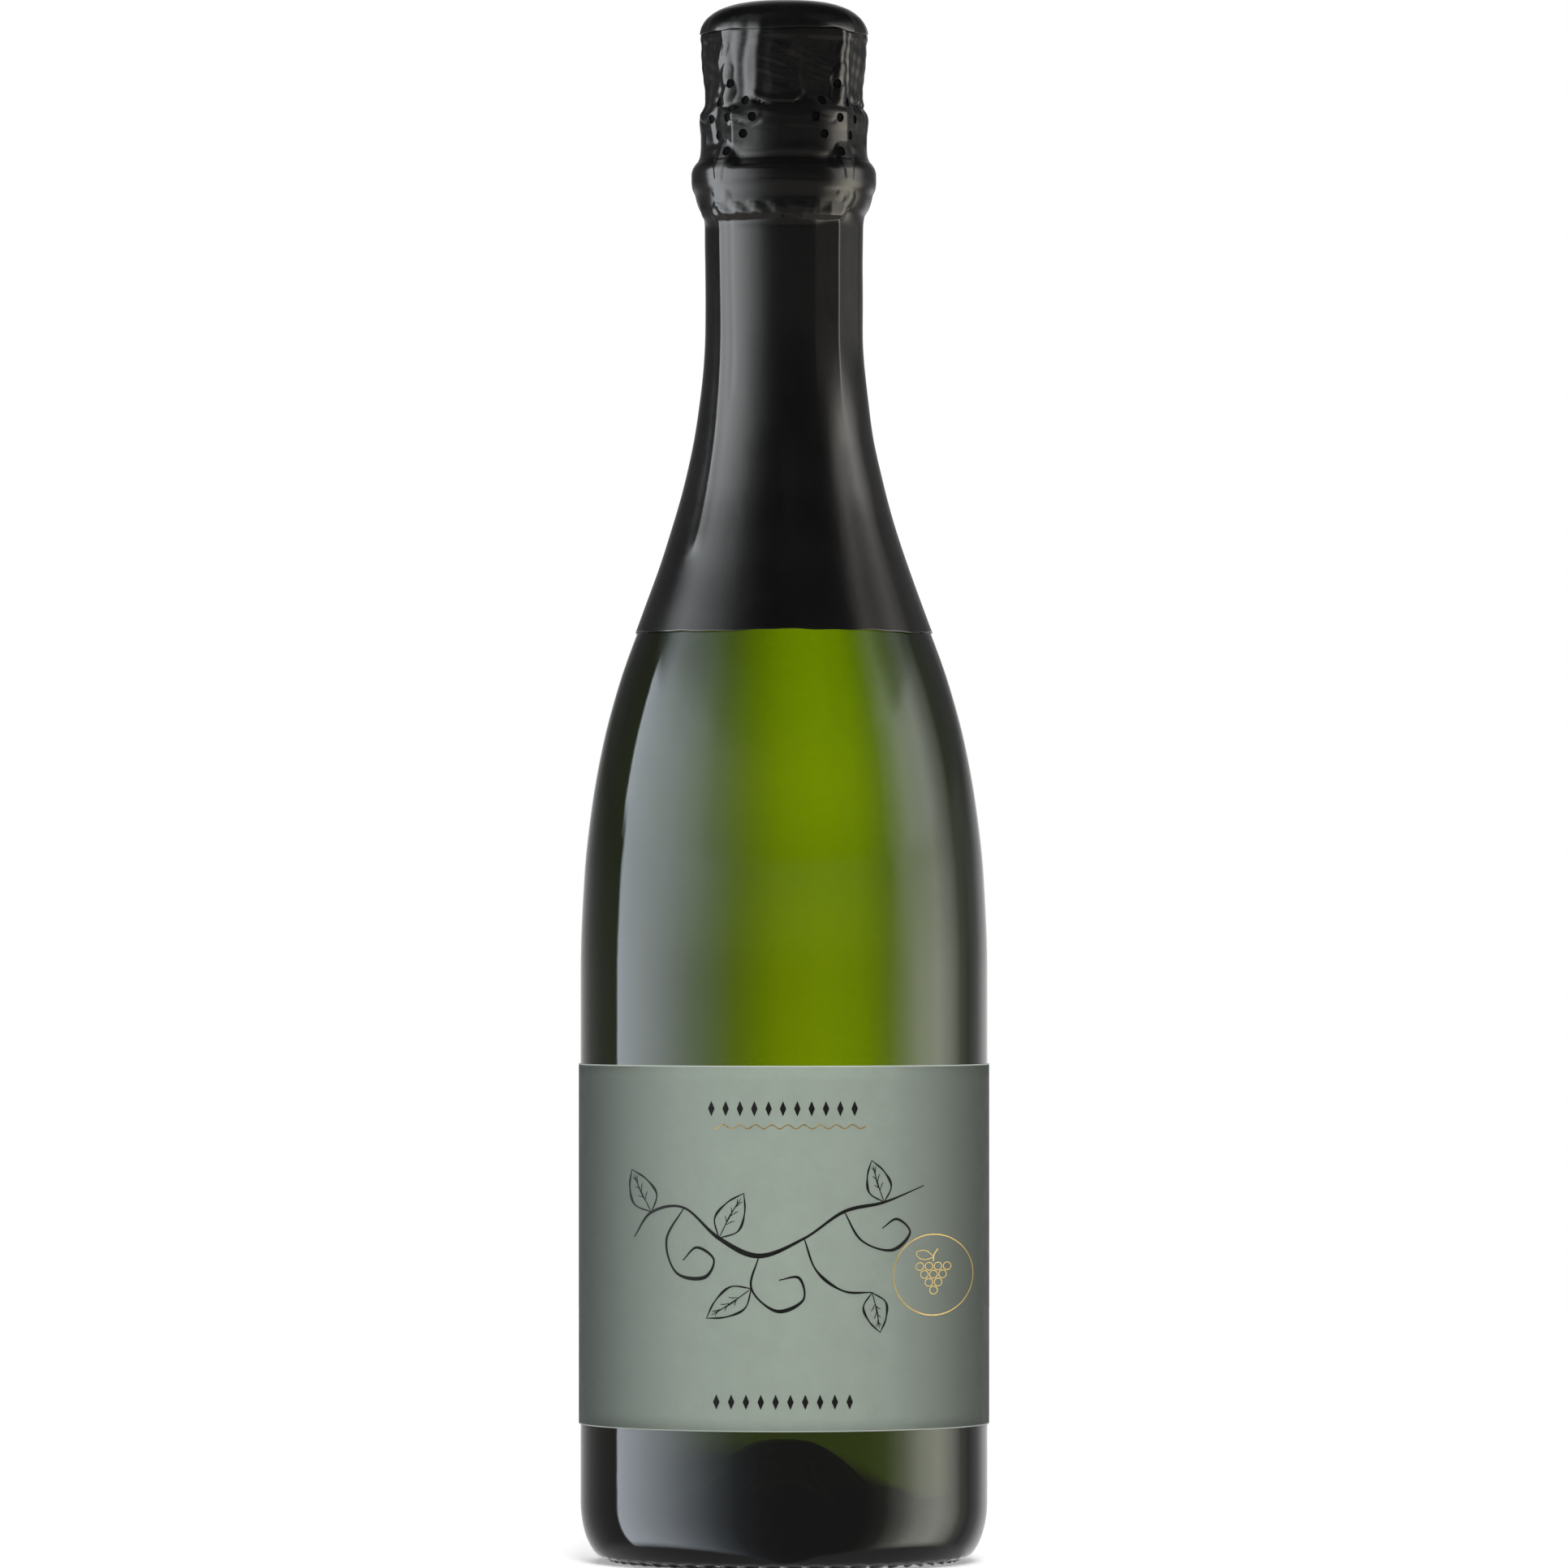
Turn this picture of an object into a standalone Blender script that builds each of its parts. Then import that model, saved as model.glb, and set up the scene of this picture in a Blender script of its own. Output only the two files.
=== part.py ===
"""A 0.75 litre sparkling wine bottle: glass, wine, cork, wire cage with its plate, foil and label.

Metres, +Z up. The bottle stands on z = 0 with its axis on Z, and its label faces -Y.
Everything that comes off is drawn straight up the Z axis, so every piece has its origin on that axis.
"""
import math

import bmesh
import bpy
from mathutils import Matrix, Vector

NAME = "sparkling_wine_bottle"

# Glass, outside
BODY_RADIUS = 0.04135
BODY_TOP = 0.1200
HEEL_HEIGHT = 0.0120
BEARING_RADIUS = 0.0353
BEARING_WIDTH = 0.0024
SHOULDER_HEIGHT = 0.1300
NECK_RADIUS = 0.0156
NECK_LENGTH = 0.0286
COLLAR_RADIUS = 0.0174
COLLAR_HEIGHT = 0.0055
FINISH_RADIUS = 0.0132
FINISH_HEIGHT = 0.0102
LIP_RADIUS = 0.0143
LIP_HEIGHT = 0.0044

# Glass, inside
BODY_WALL = 0.0036
NECK_WALL = 0.0052
BASE_THICKNESS = 0.0048
PUNT_DEPTH = 0.0205
VALLEY_HEIGHT = 0.0060
VALLEY_RADIUS = 0.0300
INNER_HEEL = 0.0110
BORE_RADIUS = 0.0090
BORE_DEPTH = 0.0268
MOUTH_ROUNDING = 0.0008

# Knurling pressed into the bearing ring
KNURL_COUNT = 52
KNURL_RADIUS = 0.0010
KNURL_DEPTH = 0.0005
KNURL_LENGTH = 0.0050
KNURL_SLANT = math.radians(38)

# Wine
LIQUID_GAP = 0.0003
FILL_DROP = 0.0743

# Cork
CORK_CLEARANCE = 0.0003
CORK_DEPTH = 0.0250
DISC_THICKNESS = 0.0060
DISC_BEVEL = 0.0004
GLUE_GAP = 0.0003
HEAD_RADIUS = 0.0142
HEAD_HEIGHT = 0.0187
HEAD_ROUNDING = 0.0022
HEAD_FLARE = 0.0055

# Wire cage and its plate
WIRE_RADIUS = 0.000425
STRAND_GAP = 0.00035
WIRE_CLEARANCE = 0.0003
LEG_COUNT = 4
LEG_TURNS = 2
PLATE_RADIUS = 0.0129
PLATE_THICKNESS = 0.0003
PLATE_DOME = 0.0011
PLATE_RIM = 0.0009
BELT_DROP = 0.0011
TAIL_START = math.radians(-58)
TAIL_ANGLE = math.radians(70)
TAIL_TURNS = 2.5
TAIL_LOOP_LENGTH = 0.0085

# Foil
FOIL_THICKNESS = 0.0002
FOIL_GAP = 0.0002
FOIL_LENGTH = 0.0903
FOIL_SEAM = 0.0003
FOIL_SPLIT_RISE = 0.0004
COLLAR_STANDOFF = 0.0010
CAP_EDGE_DROP = 0.0036
CAP_HEIGHT = 0.0076
CAP_RIM_STEP = 0.0005
CAP_FOLD = 0.0009
VENT_RADIUS = 0.00085
VENT_PITCH = 0.00345
VENT_EDGE = 0.0012
VENT_STEP = math.radians(12.5)
VENT_GROUP_AZIMUTHS = tuple(math.radians(a) for a in (41.5, 138.5, 221.5, 318.5))
VENT_ROWS = (1, 2, 3, 2, 1)

# Label
LABEL_BOTTOM = 0.0279
LABEL_HEIGHT = 0.0730
LABEL_WRAP_ANGLE = math.radians(202.5)
LABEL_THICKNESS = 0.0002
LABEL_GAP = 0.00015

# Facets
SEGMENTS = 32
CORK_SEGMENTS = 24
VENT_SIDES = 6
ARC_STEPS = 4
WIRE_SIDES_RESOLUTION = 1
LEG_POINTS = 24
MERGE = 0.00001
FACET = math.tau / SEGMENTS

# Shares chosen by hand: (height share up the stretch, radius share from its lower to its upper radius)
SHOULDER_SHARES = (
    (0.0, 1.0), (0.145, 0.971), (0.246, 0.917), (0.348, 0.827), (0.449, 0.691),
    (0.551, 0.505), (0.652, 0.322), (0.754, 0.171), (0.855, 0.066), (1.0, 0.0),
)
# (radius share of the punt's mouth, height share of its depth)
PUNT_SHARES = ((0.0, 1.0), (0.14, 0.95), (0.27, 0.80), (0.45, 0.48), (0.62, 0.25), (0.82, 0.07), (1.0, 0.0))
# (radius share from neck to crest, height share of the collar), from its foot to its top
COLLAR_SHARES = ((0.10, 0.0), (0.55, 0.10), (0.85, 0.26), (1.0, 0.44), (0.96, 0.64), (0.60, 0.84), (0.0, 1.0))
# (radius share from finish to lip, height share of the lip bead), from its foot to its top
LIP_SHARES = ((0.0, 0.0), (0.62, 0.18), (1.0, 0.42), (1.0, 0.68), (0.62, 0.92), (-0.30, 1.0))
# How far the hood's foil stands off lip and cork, as a share of the legs' bulk, up the hood
HOOD_SHARES = (
    (0.0, 1.20), (0.07, 1.05), (0.17, 1.05), (0.27, 1.20), (0.37, 1.14),
    (0.47, 0.70), (0.57, 0.68), (0.84, 1.06), (1.0, 0.98),
)
# (radius share, height share) of the top disc's dome from its rim to its centre
DOME_SHARES = ((1.0, 0.0), (0.97, 0.22), (0.88, 0.52), (0.69, 0.80), (0.40, 0.96), (0.0, 1.0))

# Levels, from the floor up
NECK_BASE = BODY_TOP + SHOULDER_HEIGHT
COLLAR_BASE = NECK_BASE + NECK_LENGTH
COLLAR_TOP = COLLAR_BASE + COLLAR_HEIGHT
LIP_TOP = COLLAR_TOP + FINISH_HEIGHT
LIP_BASE = LIP_TOP - LIP_HEIGHT
CORK_BOTTOM = LIP_TOP - CORK_DEPTH
CORK_TOP = LIP_TOP + HEAD_HEIGHT
CORK_RADIUS = BORE_RADIUS - CORK_CLEARANCE
BORE_FOOT = LIP_TOP - BORE_DEPTH
FILL_HEIGHT = LIP_TOP - FILL_DROP
FOIL_EDGE = COLLAR_BASE - FOIL_LENGTH
FOIL_SPLIT = COLLAR_TOP + FOIL_SPLIT_RISE
CAP_EDGE = CORK_TOP - CAP_EDGE_DROP

# The twisted pairs of wire
STRAND_OFFSET = WIRE_RADIUS + STRAND_GAP / 2
PAIR_RADIUS = STRAND_OFFSET + WIRE_RADIUS
LEG_RADIUS = max(LIP_RADIUS, HEAD_RADIUS) + WIRE_CLEARANCE + PAIR_RADIUS
LEG_BULK = 2 * PAIR_RADIUS + WIRE_CLEARANCE
LEG_AZIMUTHS = tuple((k + 0.5) * math.tau / LEG_COUNT for k in range(LEG_COUNT))
RING_RADIUS = PLATE_RADIUS + WIRE_CLEARANCE + WIRE_RADIUS
RING_HEIGHT = CORK_TOP
BEND_RADIUS = 2 * WIRE_RADIUS
INNER_LAYER = NECK_RADIUS + WIRE_CLEARANCE + WIRE_RADIUS
OUTER_LAYER = INNER_LAYER + 2 * WIRE_RADIUS + STRAND_GAP
BELT_RADIUS = (INNER_LAYER + OUTER_LAYER) / 2
BELT_HEIGHT = COLLAR_BASE - BELT_DROP
EYE_DEPTH = 2 * WIRE_RADIUS + 1.5 * STRAND_GAP
EYE_HALF_WIDTH = 2 * WIRE_RADIUS + 1.5 * STRAND_GAP
TAIL_RADIUS = NECK_RADIUS + WIRE_CLEARANCE + PAIR_RADIUS
TAIL_LOOP_HALF_WIDTH = STRAND_OFFSET + STRAND_GAP / 2
TAIL_HEIGHT = BELT_HEIGHT - EYE_DEPTH - WIRE_RADIUS - STRAND_GAP - PAIR_RADIUS


def clear_scene():
    for obj in list(bpy.data.objects):
        bpy.data.objects.remove(obj, do_unlink=True)


def collection(name):
    made = bpy.data.collections.new(name)
    bpy.context.scene.collection.children.link(made)
    return made


def material(name, colour, roughness, metallic=0.0, transmission=0.0):
    made = bpy.data.materials.new(name)
    made.use_nodes = True
    shader = made.node_tree.nodes["Principled BSDF"]
    shader.inputs["Base Color"].default_value = (*colour, 1.0)
    shader.inputs["Roughness"].default_value = roughness
    shader.inputs["Metallic"].default_value = metallic
    shader.inputs["Transmission Weight"].default_value = transmission
    made.diffuse_color = (*colour, 1.0)
    return made


def place(name, mesh, home, finish=None):
    obj = bpy.data.objects.new(name, mesh)
    home.objects.link(obj)
    if finish:
        mesh.materials.append(finish)
    return obj


def turned(name, profile, home, finish, segments=SEGMENTS):
    """A solid or an open skin turned from a profile that runs down its outer side."""
    mesh = bpy.data.meshes.new(name)
    spans = [(i, i + 1) for i in range(len(profile) - 1)]
    mesh.from_pydata([(radius, 0, height) for radius, height in profile], spans, [])
    obj = place(name, mesh, home, finish)
    screw = obj.modifiers.new("Turn", "SCREW")
    screw.axis = "Z"
    screw.steps = segments
    screw.render_steps = segments
    screw.use_merge_vertices = True
    screw.merge_threshold = MERGE
    return obj


def bake(obj):
    """Turns the modifiers so far into plain mesh, so that the surface can be pressed by hand."""
    mesh = bpy.data.meshes.new_from_object(obj.evaluated_get(bpy.context.evaluated_depsgraph_get()))
    obj.modifiers.clear()
    obj.data = mesh
    mesh.shade_smooth()
    return obj


def solidify(obj, thickness):
    """Gives an outer skin its wall, inwards."""
    wall = obj.modifiers.new("Wall", "SOLIDIFY")
    wall.thickness = thickness
    wall.offset = -1
    wall.use_even_offset = True


def between(low, high, share):
    return low + (high - low) * share


def stretch(shares, low_radius, high_radius, base, height):
    """Profile points of a stretch whose table gives radius shares and height shares."""
    return [(between(low_radius, high_radius, r), base + height * h) for r, h in shares]


def read_at(points, height):
    """The radius at a height on a polyline of (radius, height) that climbs."""
    if height <= points[0][1]:
        return points[0][0]
    for (r0, z0), (r1, z1) in zip(points, points[1:]):
        if height <= z1:
            return between(r0, r1, (height - z0) / (z1 - z0))
    return points[-1][0]


def azimuth_point(azimuth, radius, height, along=0.0):
    """A point by its azimuth from the front (-Y) towards +X, with a step along the tangent."""
    outward = Vector((math.sin(azimuth), -math.cos(azimuth), 0))
    tangent = Vector((math.cos(azimuth), math.sin(azimuth), 0))
    return outward * radius + tangent * along + Vector((0, 0, height))


def turn_between(azimuth, other):
    """The angle between two azimuths, without a sign."""
    return abs((azimuth - other + math.pi) % math.tau - math.pi)


def glass_outline():
    """The outer side of the glass from the bearing ring to the lip's top, as (radius, height)."""
    heel_in = BODY_RADIUS - BEARING_RADIUS
    heel = []
    for i in range(ARC_STEPS + 1):
        turn = math.pi / 2 * i / ARC_STEPS
        heel.append((BEARING_RADIUS + heel_in * math.sin(turn), HEEL_HEIGHT * (1 - math.cos(turn))))
    shoulder = stretch(
        [(r, h) for h, r in SHOULDER_SHARES], NECK_RADIUS, BODY_RADIUS, BODY_TOP, SHOULDER_HEIGHT
    )
    collar = [(NECK_RADIUS, COLLAR_BASE - BELT_DROP / 4)]
    for r, h in COLLAR_SHARES[:4]:
        collar.append((between(NECK_RADIUS, COLLAR_RADIUS, r), COLLAR_BASE + COLLAR_HEIGHT * h))
    for r, h in COLLAR_SHARES[4:]:
        collar.append((between(FINISH_RADIUS, COLLAR_RADIUS, r), COLLAR_BASE + COLLAR_HEIGHT * h))
    lip = stretch(LIP_SHARES, FINISH_RADIUS, LIP_RADIUS, LIP_BASE, LIP_HEIGHT)
    return heel + shoulder + collar + lip


def wall_lining():
    """The inner side from the mouth down to the valley round the punt, as (radius, height)."""
    mouth = [
        (BORE_RADIUS + MOUTH_ROUNDING, LIP_TOP),
        (BORE_RADIUS + MOUTH_ROUNDING / 4, LIP_TOP - MOUTH_ROUNDING / 2),
        (BORE_RADIUS, LIP_TOP - 2 * MOUTH_ROUNDING),
        (BORE_RADIUS, BORE_FOOT),
    ]
    shoulder = []
    for share, radius_share in reversed(SHOULDER_SHARES[::2] + SHOULDER_SHARES[-1:]):
        outer = between(NECK_RADIUS, BODY_RADIUS, radius_share)
        wall = between(NECK_WALL, BODY_WALL, radius_share)
        shoulder.append((outer - wall, BODY_TOP + SHOULDER_HEIGHT * share))
    inner = BODY_RADIUS - BODY_WALL
    heel_in = inner - VALLEY_RADIUS
    heel = []
    for i in range(ARC_STEPS + 1):
        turn = math.pi / 2 * i / ARC_STEPS
        heel.append(
            (VALLEY_RADIUS + heel_in * math.cos(turn), VALLEY_HEIGHT + INNER_HEEL * (1 - math.sin(turn)))
        )
    return mouth + shoulder + heel


def floor_lining():
    """The inner side of the punt from the valley's edge up to its middle, as (radius, height)."""
    rise = PUNT_DEPTH + BASE_THICKNESS - VALLEY_HEIGHT
    return [(VALLEY_RADIUS * r, VALLEY_HEIGHT + rise * h) for r, h in reversed(PUNT_SHARES[:-1])]


def punt_mouth():
    return BEARING_RADIUS - BEARING_WIDTH


def make_glass(home, cutters, finish):
    """The bottle: one turned wall with its punt, finish and bore, and the knurled bearing ring."""
    outer = list(reversed(glass_outline()))
    underside = [(punt_mouth() * r, PUNT_DEPTH * h) for r, h in reversed(PUNT_SHARES)]
    profile = list(reversed(wall_lining() + floor_lining())) + outer + underside
    glass = turned("glass_bottle", profile, home, finish)
    knurl = bmesh.new()
    (foot, _), (heel, heel_height) = glass_outline()[:2]
    rise = math.atan2(heel_height, heel - foot)
    reach = KNURL_LENGTH / 4
    for k in range(KNURL_COUNT):
        azimuth = (k + 0.5) * math.tau / KNURL_COUNT
        height = reach * math.tan(rise) + KNURL_DEPTH - KNURL_RADIUS
        spot = azimuth_point(azimuth, BEARING_RADIUS + reach, height)
        turn = Matrix.Rotation(azimuth - math.pi / 2 + KNURL_SLANT, 4, "Z")
        lie = Matrix.Rotation(math.pi / 2 - rise, 4, "Y")
        bmesh.ops.create_cone(
            knurl, cap_ends=True, segments=VENT_SIDES, radius1=KNURL_RADIUS, radius2=KNURL_RADIUS,
            depth=KNURL_LENGTH, matrix=Matrix.Translation(spot) @ turn @ lie,
        )
    mesh = bpy.data.meshes.new("knurl_cutter")
    knurl.to_mesh(mesh)
    knurl.free()
    cutter = place("knurl_cutter", mesh, cutters)
    cut(glass, cutter)
    return glass


def cut(obj, cutter):
    cutter.hide_render = True
    cutter.display_type = "WIRE"
    boolean = obj.modifiers.new("Cut", "BOOLEAN")
    boolean.operation = "DIFFERENCE"
    boolean.solver = "EXACT"
    boolean.object = cutter


def inset(points, gap):
    """A line of (radius, height) points moved to its inner side, square to its own run."""
    moved = []
    for i, (radius, height) in enumerate(points):
        before = points[max(i - 1, 0)]
        after = points[min(i + 1, len(points) - 1)]
        run = Vector((after[0] - before[0], after[1] - before[1])).normalized()
        moved.append((radius + run.y * gap, height - run.x * gap))
    return moved


def make_wine(home, finish):
    """The wine fills the glass to its level, a liquid's gap clear of wall and floor."""
    lining = wall_lining()
    brim = read_at(list(reversed(lining)), FILL_HEIGHT) - LIQUID_GAP
    wet = [point for point in lining if point[1] < FILL_HEIGHT - LIQUID_GAP]
    inner = inset(wet + floor_lining(), LIQUID_GAP)
    middle = (0, inner[-1][1])
    return turned("wine", [(0, FILL_HEIGHT), (brim, FILL_HEIGHT)] + inner[:-1] + [middle], home, finish)


def make_cork(home, granules, natural):
    """The granule cork with its mushroom head, and two discs of natural cork towards the wine."""
    stack = 2 * (DISC_THICKNESS + GLUE_GAP)
    top = [(0, CORK_TOP)]
    for i in range(ARC_STEPS + 1):
        turn = math.pi / 2 * i / ARC_STEPS
        top.append((
            HEAD_RADIUS - HEAD_ROUNDING * (1 - math.sin(turn)),
            CORK_TOP - HEAD_ROUNDING * (1 - math.cos(turn)),
        ))
    under = LIP_TOP + CORK_CLEARANCE
    flare = HEAD_RADIUS - CORK_RADIUS
    side = [
        (HEAD_RADIUS, under + HEAD_FLARE),
        (HEAD_RADIUS - flare / 4, under + HEAD_FLARE / 2),
        (HEAD_RADIUS - 3 * flare / 4, under + HEAD_FLARE / 8),
        (CORK_RADIUS, under),
        (CORK_RADIUS, CORK_BOTTOM + stack),
        (0, CORK_BOTTOM + stack),
    ]
    turned("cork_granule_body", top + side, home, granules, CORK_SEGMENTS)
    for name, base in (
        ("cork_disc_lower", CORK_BOTTOM),
        ("cork_disc_upper", CORK_BOTTOM + DISC_THICKNESS + GLUE_GAP),
    ):
        rim = [
            (0, base + DISC_THICKNESS),
            (CORK_RADIUS - DISC_BEVEL, base + DISC_THICKNESS),
            (CORK_RADIUS, base + DISC_THICKNESS - DISC_BEVEL),
            (CORK_RADIUS, base + DISC_BEVEL),
            (CORK_RADIUS - DISC_BEVEL, base),
            (0, base),
        ]
        turned(name, rim, home, natural, CORK_SEGMENTS)


def plate_profile():
    """The upper skin of the stamped plate: a low dome, a bead, a flat and a turned-down rim."""
    seat = CORK_TOP + WIRE_CLEARANCE + PLATE_THICKNESS
    corner = HEAD_RADIUS - HEAD_ROUNDING
    flat = min(corner, PLATE_RADIUS - PLATE_RIM)
    return [
        (0, seat + PLATE_DOME),
        (flat * 0.40, seat + PLATE_DOME * 0.92),
        (flat * 0.58, seat + PLATE_DOME * 0.55),
        (flat * 0.66, seat + PLATE_DOME * 0.62),
        (flat * 0.80, seat + PLATE_DOME * 0.20),
        (flat, seat),
        (PLATE_RADIUS - PLATE_RIM / 3, seat),
        (PLATE_RADIUS, seat - PLATE_RIM / 3),
    ]


def make_plate(home, finish):
    plate = turned("cage_plate", plate_profile(), home, finish, CORK_SEGMENTS)
    solidify(bake(plate), PLATE_THICKNESS)


def leg_stations():
    """The leg's middle line in its own radial plane, from the ring over cork and collar to the belt."""
    side_by_side = COLLAR_RADIUS + WIRE_CLEARANCE + WIRE_RADIUS
    crest = COLLAR_BASE + COLLAR_HEIGHT * COLLAR_SHARES[3][1]
    shoulder = HEAD_ROUNDING
    return [
        (RING_RADIUS + BEND_RADIUS, RING_HEIGHT),
        (between(RING_RADIUS + BEND_RADIUS, LEG_RADIUS, 0.62), RING_HEIGHT - shoulder * 0.42),
        (between(RING_RADIUS + BEND_RADIUS, LEG_RADIUS, 0.93), RING_HEIGHT - shoulder),
        (LEG_RADIUS, RING_HEIGHT - shoulder * 1.8),
        (LEG_RADIUS, LIP_TOP),
        (LEG_RADIUS, LIP_BASE),
        (between(LEG_RADIUS, side_by_side, 0.18), between(LIP_BASE, COLLAR_TOP, 0.45)),
        (between(LEG_RADIUS, side_by_side, 0.62), between(LIP_BASE, COLLAR_TOP, 0.92)),
        (between(LEG_RADIUS, side_by_side, 0.93), between(COLLAR_TOP, crest, 0.50)),
        (side_by_side, between(COLLAR_TOP, crest, 0.85)),
        (side_by_side, crest),
        (between(side_by_side, OUTER_LAYER, 0.30), between(crest, COLLAR_BASE, 0.55)),
        (between(side_by_side, OUTER_LAYER, 0.85), between(crest, COLLAR_BASE, 0.90)),
    ]


def even_points(stations, count):
    """Points spread evenly along the polyline through the stations."""
    lengths = [0.0]
    for (r0, z0), (r1, z1) in zip(stations, stations[1:]):
        lengths.append(lengths[-1] + math.hypot(r1 - r0, z1 - z0))
    spread = []
    for i in range(count):
        along = lengths[-1] * i / (count - 1)
        k = max(j for j in range(len(stations) - 1) if lengths[j] <= along + MERGE)
        share = (along - lengths[k]) / (lengths[k + 1] - lengths[k])
        (r0, z0), (r1, z1) = stations[k], stations[k + 1]
        spread.append((between(r0, r1, share), between(z0, z1, share)))
    return spread


def leg_strand(azimuth, side):
    """One strand of a leg from the ring down: side by side at both ends, twisted in between."""
    middle = even_points(leg_stations(), LEG_POINTS)
    twist_top = RING_HEIGHT - HEAD_ROUNDING * 1.8
    strand = []
    for i, (radius, height) in enumerate(middle):
        before = middle[max(i - 1, 0)]
        after = middle[min(i + 1, len(middle) - 1)]
        run = Vector((after[0] - before[0], 0, after[1] - before[1])).normalized()
        share = (twist_top - height) / (twist_top - LIP_BASE)
        turn = math.tau * LEG_TURNS * min(max(share, 0.0), 1.0)
        along = side * STRAND_OFFSET * math.cos(turn)
        off = side * STRAND_OFFSET * math.sin(turn)
        strand.append(azimuth_point(azimuth, radius - run.z * off, height + run.x * off, along))
    return strand


def eye_loop(azimuth):
    """The eye at a leg's foot: in behind the belt on one side, under it, and out before it on the other."""
    points = []
    for i in range(1, 2 * ARC_STEPS):
        turn = math.pi * i / (2 * ARC_STEPS)
        radius = between(INNER_LAYER, OUTER_LAYER, (1 - math.cos(turn)) / 2)
        height = BELT_HEIGHT - EYE_DEPTH * math.sin(turn)
        points.append(azimuth_point(azimuth, radius, height, -EYE_HALF_WIDTH * math.cos(turn)))
    shoulder = azimuth_point(
        azimuth,
        between(INNER_LAYER, leg_stations()[-1][0], 0.45),
        BELT_HEIGHT + EYE_DEPTH * 0.7,
        -between(STRAND_OFFSET, EYE_HALF_WIDTH, 0.55),
    )
    left = azimuth_point(azimuth, INNER_LAYER, BELT_HEIGHT + WIRE_RADIUS / 2, -EYE_HALF_WIDTH)
    right = azimuth_point(azimuth, OUTER_LAYER, BELT_HEIGHT + WIRE_RADIUS / 2, EYE_HALF_WIDTH)
    return [shoulder, left] + points + [right]


def frame_wire_points():
    """The whole frame as one closed wire: ring arc, down a leg, round its eye, up again, next arc."""
    points = []
    start = (STRAND_OFFSET + BEND_RADIUS) / RING_RADIUS
    span = math.tau / LEG_COUNT - 2 * start
    for azimuth in LEG_AZIMUTHS:
        for i in range(ARC_STEPS + 1):
            turn = azimuth - start - span + span * i / ARC_STEPS
            points.append(azimuth_point(turn, RING_RADIUS, RING_HEIGHT))
        points += ring_bend(azimuth, -1)
        points += leg_strand(azimuth, -1)
        points += eye_loop(azimuth)
        points += list(reversed(leg_strand(azimuth, 1)))
        points += list(reversed(ring_bend(azimuth, 1)))
    return points


def ring_bend(azimuth, side):
    """The round corner where the ring turns outwards into a leg's strand."""
    points = []
    for i in (1, 2):
        turn = math.pi / 2 * i / 3
        along = side * (STRAND_OFFSET + BEND_RADIUS * (1 - math.sin(turn)))
        points.append(
            azimuth_point(azimuth, RING_RADIUS + BEND_RADIUS * (1 - math.cos(turn)), RING_HEIGHT, along)
        )
    return points


def belt_layer(azimuth):
    """The belt's radius at an azimuth: it dips from before an eye's left strand to behind the right."""
    for leg in LEG_AZIMUTHS:
        off = (azimuth - leg + math.pi) % math.tau - math.pi
        along = off * BELT_RADIUS
        if abs(along) <= EYE_HALF_WIDTH:
            share = (along / EYE_HALF_WIDTH + 1) / 2
            return between(OUTER_LAYER, INNER_LAYER, share * share * (3 - 2 * share))
        fade = 2 * EYE_HALF_WIDTH
        if abs(along) <= EYE_HALF_WIDTH + fade:
            layer = OUTER_LAYER if along < 0 else INNER_LAYER
            share = (abs(along) - EYE_HALF_WIDTH) / fade
            return between(layer, BELT_RADIUS, share * share * (3 - 2 * share))
    return BELT_RADIUS


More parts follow.
